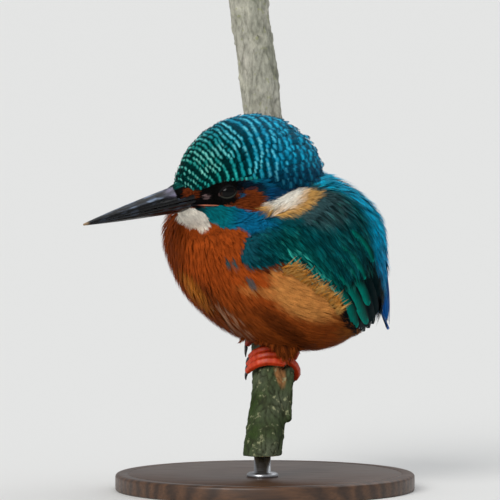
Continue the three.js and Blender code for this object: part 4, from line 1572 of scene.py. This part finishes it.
CUT_LEVELS = (12.4, 149.0)  # just inside the stem's lower and upper ends


def make_perch(material):
    """Bark with low swellings, cracks along the stem and small warts; the cut ends show pale wood."""
    mesh = rebuilt("perch_bark", ("perch_branch",), voxel=0.45, rounds=5)
    points, normals = mesh_points(mesh), mesh_normals(mesh)
    x, y, z = points.T
    low = ease(z, 60, 36)
    cracks = 1 - np.abs(sway(points * np.array([1.0, 1.0, 0.3]), 2.2, 1))
    warts = np.maximum(sway(points, 2.6, 2) - 0.45, 0)
    lumps = sway(points, 9.0, 4)
    height = 0.25 * lumps + 0.8 * warts + 0.07 * sway(points, 0.9, 3)
    height = height - (0.1 + 0.35 * low) * np.maximum(cracks - 0.75, 0) / 0.25
    ends = ease(np.abs(normals[:, 2]), 0.8, 0.95) * ((z < CUT_LEVELS[0]) | (z > CUT_LEVELS[1]))
    height = np.minimum(height, 0.35) * (1 - ends)
    move_points(mesh, points + normals * height[:, None])
    # Darker low on the stem and in the cracks.
    darker_low_and_in_cracks = 0.55 * low + 0.45 * np.maximum(cracks - 0.8, 0) / 0.2
    scar = blob(y, z, (4.3, 36.5), (1.5, 5.0), 12) * (x > 4)
    tint = mix(srgb(176, 174, 160), srgb(92, 106, 76), ease(z, 110, 30) + 0.3 * lumps)
    tint = mix(tint, srgb(46, 50, 30), np.clip(darker_low_and_in_cracks, 0, 1))
    tint = mix(tint, srgb(186, 184, 168), 0.8 * ease(sway(points, 5.0, 5), 0.25, 0.6) * (1 - low))
    tint = mix(tint, srgb(150, 104, 62), scar)
    paint(mesh, mix(np.clip(tint, 0, 1), srgb(190, 168, 122), ends))
    finish_piece(new_object(mesh), material, "bark", "perch_branch")


def lathe(name, profile, centre, corners):
    """A turned solid about an upright axis, from (radius, level) pairs."""
    around, _ = circle(corners)
    points, faces = tube(np.stack([
        np.concatenate([centre + radius * around, np.full((corners, 1), level)], 1)
        for radius, level in profile]))
    return make_mesh(name, points, faces)


def rounded_edge(radius, level, size, start):
    """A quarter turn of an edge, from start degrees, inside the corner at radius and level."""
    sense = 1 if start >= 0 else -1
    turns = np.radians(np.linspace(start, start + 90, 7))
    return [(radius - size + size * math.cos(t), level - sense * size + size * math.sin(t)) for t in turns]


def make_stand(wood, steel):
    """A disc with rounded edges and a fine groove, and a rod with a collar."""
    radius, height, rod = STAND["base_radius"], STAND["base_height"], STAND["rod_radius"]
    low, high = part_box("stand_rod")
    centre = np.array([(low.x + high.x) / 2, (low.y + high.y) / 2]) / MM
    top = high.z / MM
    cuts = ((3.4, 0), (3.7, 0.25), (4.1, 0.25), (4.4, 0))
    groove = [(radius - inside, height - deep) for inside, deep in cuts]
    disc = [
        (0.5, 0.0), (radius - 1.0, 0.0), *rounded_edge(radius, 0.0, 0.6, -90),
        *rounded_edge(radius, height, 1.0, 0), *groove, (20.0, height), (0.5, height)]
    finish_piece(new_object(lathe("stand_disc", disc, np.zeros(2), 160)), wood, "stand_wood", "stand_base")
    collar = ((0.0, -0.1), (2.2, -0.1), (2.2, 0.9), (1.6, 1.4), (0.0, 1.4))
    post = [(rod + out, height + rise) for out, rise in collar] + [(rod, top - 0.3), (rod - 0.3, top)]
    finish_piece(new_object(lathe("stand_post", post, centre, 64)), steel, "stand_steel", "stand_rod")


# ---------------------------------------------------------------- long feathers of wing and tail


# Ends of the folded wing's long feathers in Y and Z: the first lies lowest, each next a little over it.
SECONDARY_ROOTS = ((18.3, 68.0), (20.2, 69.0), (22.6, 71.0), (22.6, 75.0), (25.6, 79.5))
SECONDARY_TIPS = ((27.4, 50.2), (30.5, 51.0), (30.9, 56.8), (29.6, 64.6), (32.0, 69.6))
SECONDARY_HALVES = (1.6, 1.65, 1.45, 1.2, 1.1)
PRIMARY_ROOTS = ((20.5, 66.5), (22.0, 68.0), (24.0, 70.0), (26.0, 72.0), (27.5, 74.0))
PRIMARY_TIPS = ((29.8, 48.6), (31.2, 49.6), (32.4, 50.8), (33.2, 53.6), (33.4, 59.0))


def on_side(outline, ends, side):
    """The point of the bird's side that faces the camera or away from it at each Y and Z."""
    spots = []
    for y, z in ends:
        hit = outline.tree.ray_cast(Vector((60.0 * side, y, z)), Vector((-side, 0.0, 0.0)))[0]
        if hit is None:
            hit, _, _, _ = outline.tree.find_nearest(Vector((12.0 * side, y, z)))
        spots.append(hit)
    return np.array(spots)


def wing_shafts(outline, roots, tips, side, lift):
    """Shafts over the wing's side, bowed a little towards the back."""
    share = np.linspace(0, 1, 9)
    bow = np.stack([1.3 * np.sin(math.pi * share), np.zeros(len(share))], 1)
    roots, tips = np.array(roots), np.array(tips)
    shafts = []
    for n, (root, tip) in enumerate(zip(roots, tips)):
        spots = on_side(outline, root + (tip - root) * share[:, None] + bow, side)
        even = np.polyval(np.polyfit(share, spots[:, 0], 2), share)
        spots[:, 0] = even - side * (1.0 - lift - 0.22 * n)
        shafts.append(spots)
    return np.array(shafts)


def flight_coat(outline, side, material, rng):
    """Secondaries with dark rims over a few black primaries."""
    facing = unit(np.array([0.93 * side, 0.22, 0.25]))
    dark_shafts = wing_shafts(outline, PRIMARY_ROOTS, PRIMARY_TIPS, side, -0.9)
    teal_shafts = wing_shafts(outline, SECONDARY_ROOTS, SECONDARY_TIPS, side, -0.1)
    dark = Feathers.strung(dark_shafts, facing, 1.7, COLOURS["primary"])
    teal = Feathers.strung(teal_shafts, facing, SECONDARY_HALVES, COLOURS["secondary"])
    shapes = [
        vane(44, rng, lean=0.1, ragged=0.01, notch=0.04, fullness=2.8, early=1.15, camber=0.3, loose=0.008)
        for _ in range(3)]
    return coat(f"flight_feathers_{SIDES[side]}", [
        (dark, shapes, rimmed(51, 0.5, side)),
        (teal, shapes, rimmed(52, 0.95, side)),
    ], material, "wing_feathers")


def tail_coat(material, rng):
    """Ten short stiff tail feathers in a shallow fan, under long pointed blue coverts."""
    root, tip = np.array(TAIL["root"]), np.array(TAIL["tip"])
    axis = unit(tip - root)
    length = np.linalg.norm(tip - root)
    across = unit(in_plane(np.array([1.0, 0.0, 0.0]), axis))
    face = np.cross(across, axis)
    face = face if face[1] > 0 else -face
    share = np.linspace(0, 1, 9)[:, None]
    shafts = []
    for place in np.linspace(-1, 1, 10):
        start = root + across * place * 0.45 * TAIL["root_half"]
        end = tip + across * place * 0.76 * TAIL["tip_half"] - axis * length * 0.09 * place * place
        bend = 1.1 * place * place * share ** 2 - 0.5 * abs(place)
        shafts.append(start + (end - start) * share + bend * face)
    stiff = Feathers.strung(np.array(shafts), face, 2.3, COLOURS["tail"])
    coverts = tail_coverts(rng)
    blunt = [
        vane(40, rng, lean=0.12, ragged=0.01, notch=0.03, fullness=3.4, early=1.0, camber=0.12, loose=0.01)
        for _ in range(3)]
    pointed = [
        vane(26, rng, lean=0.25, ragged=0.03, notch=0.06, fullness=1.3, early=0.7, camber=0.3, loose=0.02)
        for _ in range(4)]
    return coat("tail_feathers", [
        (stiff, blunt, rimmed(61, 0.6)),
        # Dark rims on both edges of the coverts: painted shade for the gaps between the plumes.
        (coverts, pointed, rimmed(62, 0.8)),
    ], material, "tail_feathers")


# Rows of tail coverts: share along the tail and distance behind it, at the roots and at the tips.
COVERT_ROWS = (
    (0.1, 5.8, 0.93, 1.0), (0.0, 6.5, 0.77, 1.6), (-0.15, 6.8, 0.58, 2.9), (-0.3, 6.6, 0.40, 4.6))


def tail_coverts(rng):
    """Rows of long pointed feathers that wrap the rump and the tail's root, the lowest row the longest."""
    root, tip = np.array(TAIL["root"]), np.array(TAIL["tip"])
    share = np.linspace(0, 1, 7)[:, None]
    arch = np.array([0.0, 0.6, 0.0]) * np.sin(math.pi * share)
    shafts, facing, tints = [], [], []
    for row, (start_share, start_out, end_share, end_out) in enumerate(COVERT_ROWS):
        for place in np.linspace(-1, 1, 9):
            start = root + (tip - root) * start_share
            start = start + np.array([8.0 * place, start_out - 3.0 * place ** 2, 0.0])
            end = root + (tip - root) * (end_share + 0.03 * rng.normal())
            end = end + np.array([6.0 * place, end_out - 0.8 * place ** 2, 0.0])
            shafts.append(start + (end - start) * share + arch)
            facing.append([[1.7 * place, 1.0, 0.2]])
            tints.append(mix(COLOURS["tail"], COLOURS["back_low"], 0.25 * row + 0.1 * rng.random()))
    return Feathers.strung(np.array(shafts), np.array(facing), 1.25, np.array(tints))


# ---------------------------------------------------------------- camera, light, floor


# The photo's view, looking along -X: millimetres for the target, metres and degrees for the rest.
CAMERA = {"target": (0.0, -4.5, 72.2), "distance": 2.2, "elevation": 3.5, "lens": 528, "sensor": 36}


def make_camera():
    """The photo's view: from the bird's left, a little above level, through a long lens."""
    camera = bpy.data.objects.new("camera", bpy.data.cameras.new("camera"))
    bpy.context.scene.collection.objects.link(camera)
    elevation = math.radians(CAMERA["elevation"])
    back = Vector((math.cos(elevation), 0.0, math.sin(elevation)))
    camera.location = Vector(CAMERA["target"]) * MM + back * CAMERA["distance"]
    camera.rotation_euler = back.to_track_quat("Z", "Y").to_euler()
    camera.data.lens = CAMERA["lens"]
    camera.data.sensor_width = CAMERA["sensor"]
    camera.data.clip_start = 0.05
    camera.data.clip_end = 60
    bpy.context.scene.camera = camera


def make_light(name, way, strength, spread, colour):
    """A broad soft light from a direction, the same all over the scene."""
    lamp = bpy.data.lights.new(name, "SUN")
    lamp.energy = strength
    lamp.angle = math.radians(spread)
    lamp.color = colour
    light = bpy.data.objects.new(name, lamp)
    bpy.context.scene.collection.objects.link(light)
    light.rotation_euler = Vector(way).to_track_quat("Z", "Y").to_euler()


# Wide enough to stand behind everything, and close enough for cameras set round the bird to see.
BACKDROP = {"radius": 6400.0, "height": 4000.0, "sides": 48}


def make_backdrop():
    """A round wall far behind everything. Only the camera sees it, so it casts no light or shade."""
    sides = BACKDROP["sides"]
    ring = BACKDROP["radius"] * circle(sides)[0]
    points = np.concatenate([
        np.column_stack([ring, np.full(sides, level)]) for level in (0.0, BACKDROP["height"])])
    wall = new_object(make_mesh("backdrop", points, np.array(wall_faces(2, sides))))
    wall.data.materials.append(backdrop_material())
    for ray in ("diffuse", "glossy", "transmission", "volume_scatter", "shadow"):
        setattr(wall, f"visible_{ray}", False)


def make_studio():
    """Plain soft light, a pale floor and a backdrop of the same tone."""
    world = bpy.data.worlds.new("studio")
    world.use_nodes = True
    sky = world.node_tree.nodes["Background"]
    sky.inputs["Color"].default_value = (0.96, 0.98, 1.0, 1.0)
    sky.inputs["Strength"].default_value = 0.42
    bpy.context.scene.world = world
    bpy.context.scene.view_settings.view_transform = "Standard"
    make_light("key", (0.9, -0.5, 0.65), 1.9, 35.0, (1.0, 0.985, 0.96))
    make_light("top", (-0.5, 0.5, 1.0), 1.0, 60.0, (0.97, 0.985, 1.0))
    corners = np.array([(-12, -12, 0), (12, -12, 0), (12, 12, 0), (-12, 12, 0)]) / MM
    floor = new_object(make_mesh("floor", corners, np.array([(0, 1, 2, 3)])))
    floor.data.materials.append(floor_material())
    make_backdrop()


# ---------------------------------------------------------------- the model


def main():
    make_camera()
    make_studio()
    rng = np.random.default_rng(SEED)
    mesh = make_outline()
    outline = Outline(mesh)
    make_skin(mesh, outline)
    horn, wet, scales = horn_material("bill_horn", 0.28, 0.3), eye_material(), foot_material()
    bare = horn_material("bare_skin", 0.6, 0.1)
    make_bill(horn)
    for side in SIDES:
        eye_ball(side, wet)
        lid_ring(side, bare)
        gape_fold(side, outline, bare)
    for name in GRIPS:
        make_foot(name, scales)
    finish_claws(claw_material())
    make_perch(bark_material())
    make_stand(wood_material(), steel_material())
    satin = plumage_material("plumage_satin", 0.6, 0.12, (0.02, 0.75, 0.85))
    soft = plumage_material("plumage_soft", 0.75, 0.06, (1.0, 0.8, 0.6))
    crown_coat(outline, satin, rng)
    face_coat(outline, soft, rng)
    under_coat(outline, soft, rng)
    for side in SIDES:
        mantle_coat(outline, side, satin, rng)
        flight_coat(outline, side, satin, rng)
    stripe_coat(outline, satin, rng)
    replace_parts(tail_coat(satin, rng), "tail")


main()
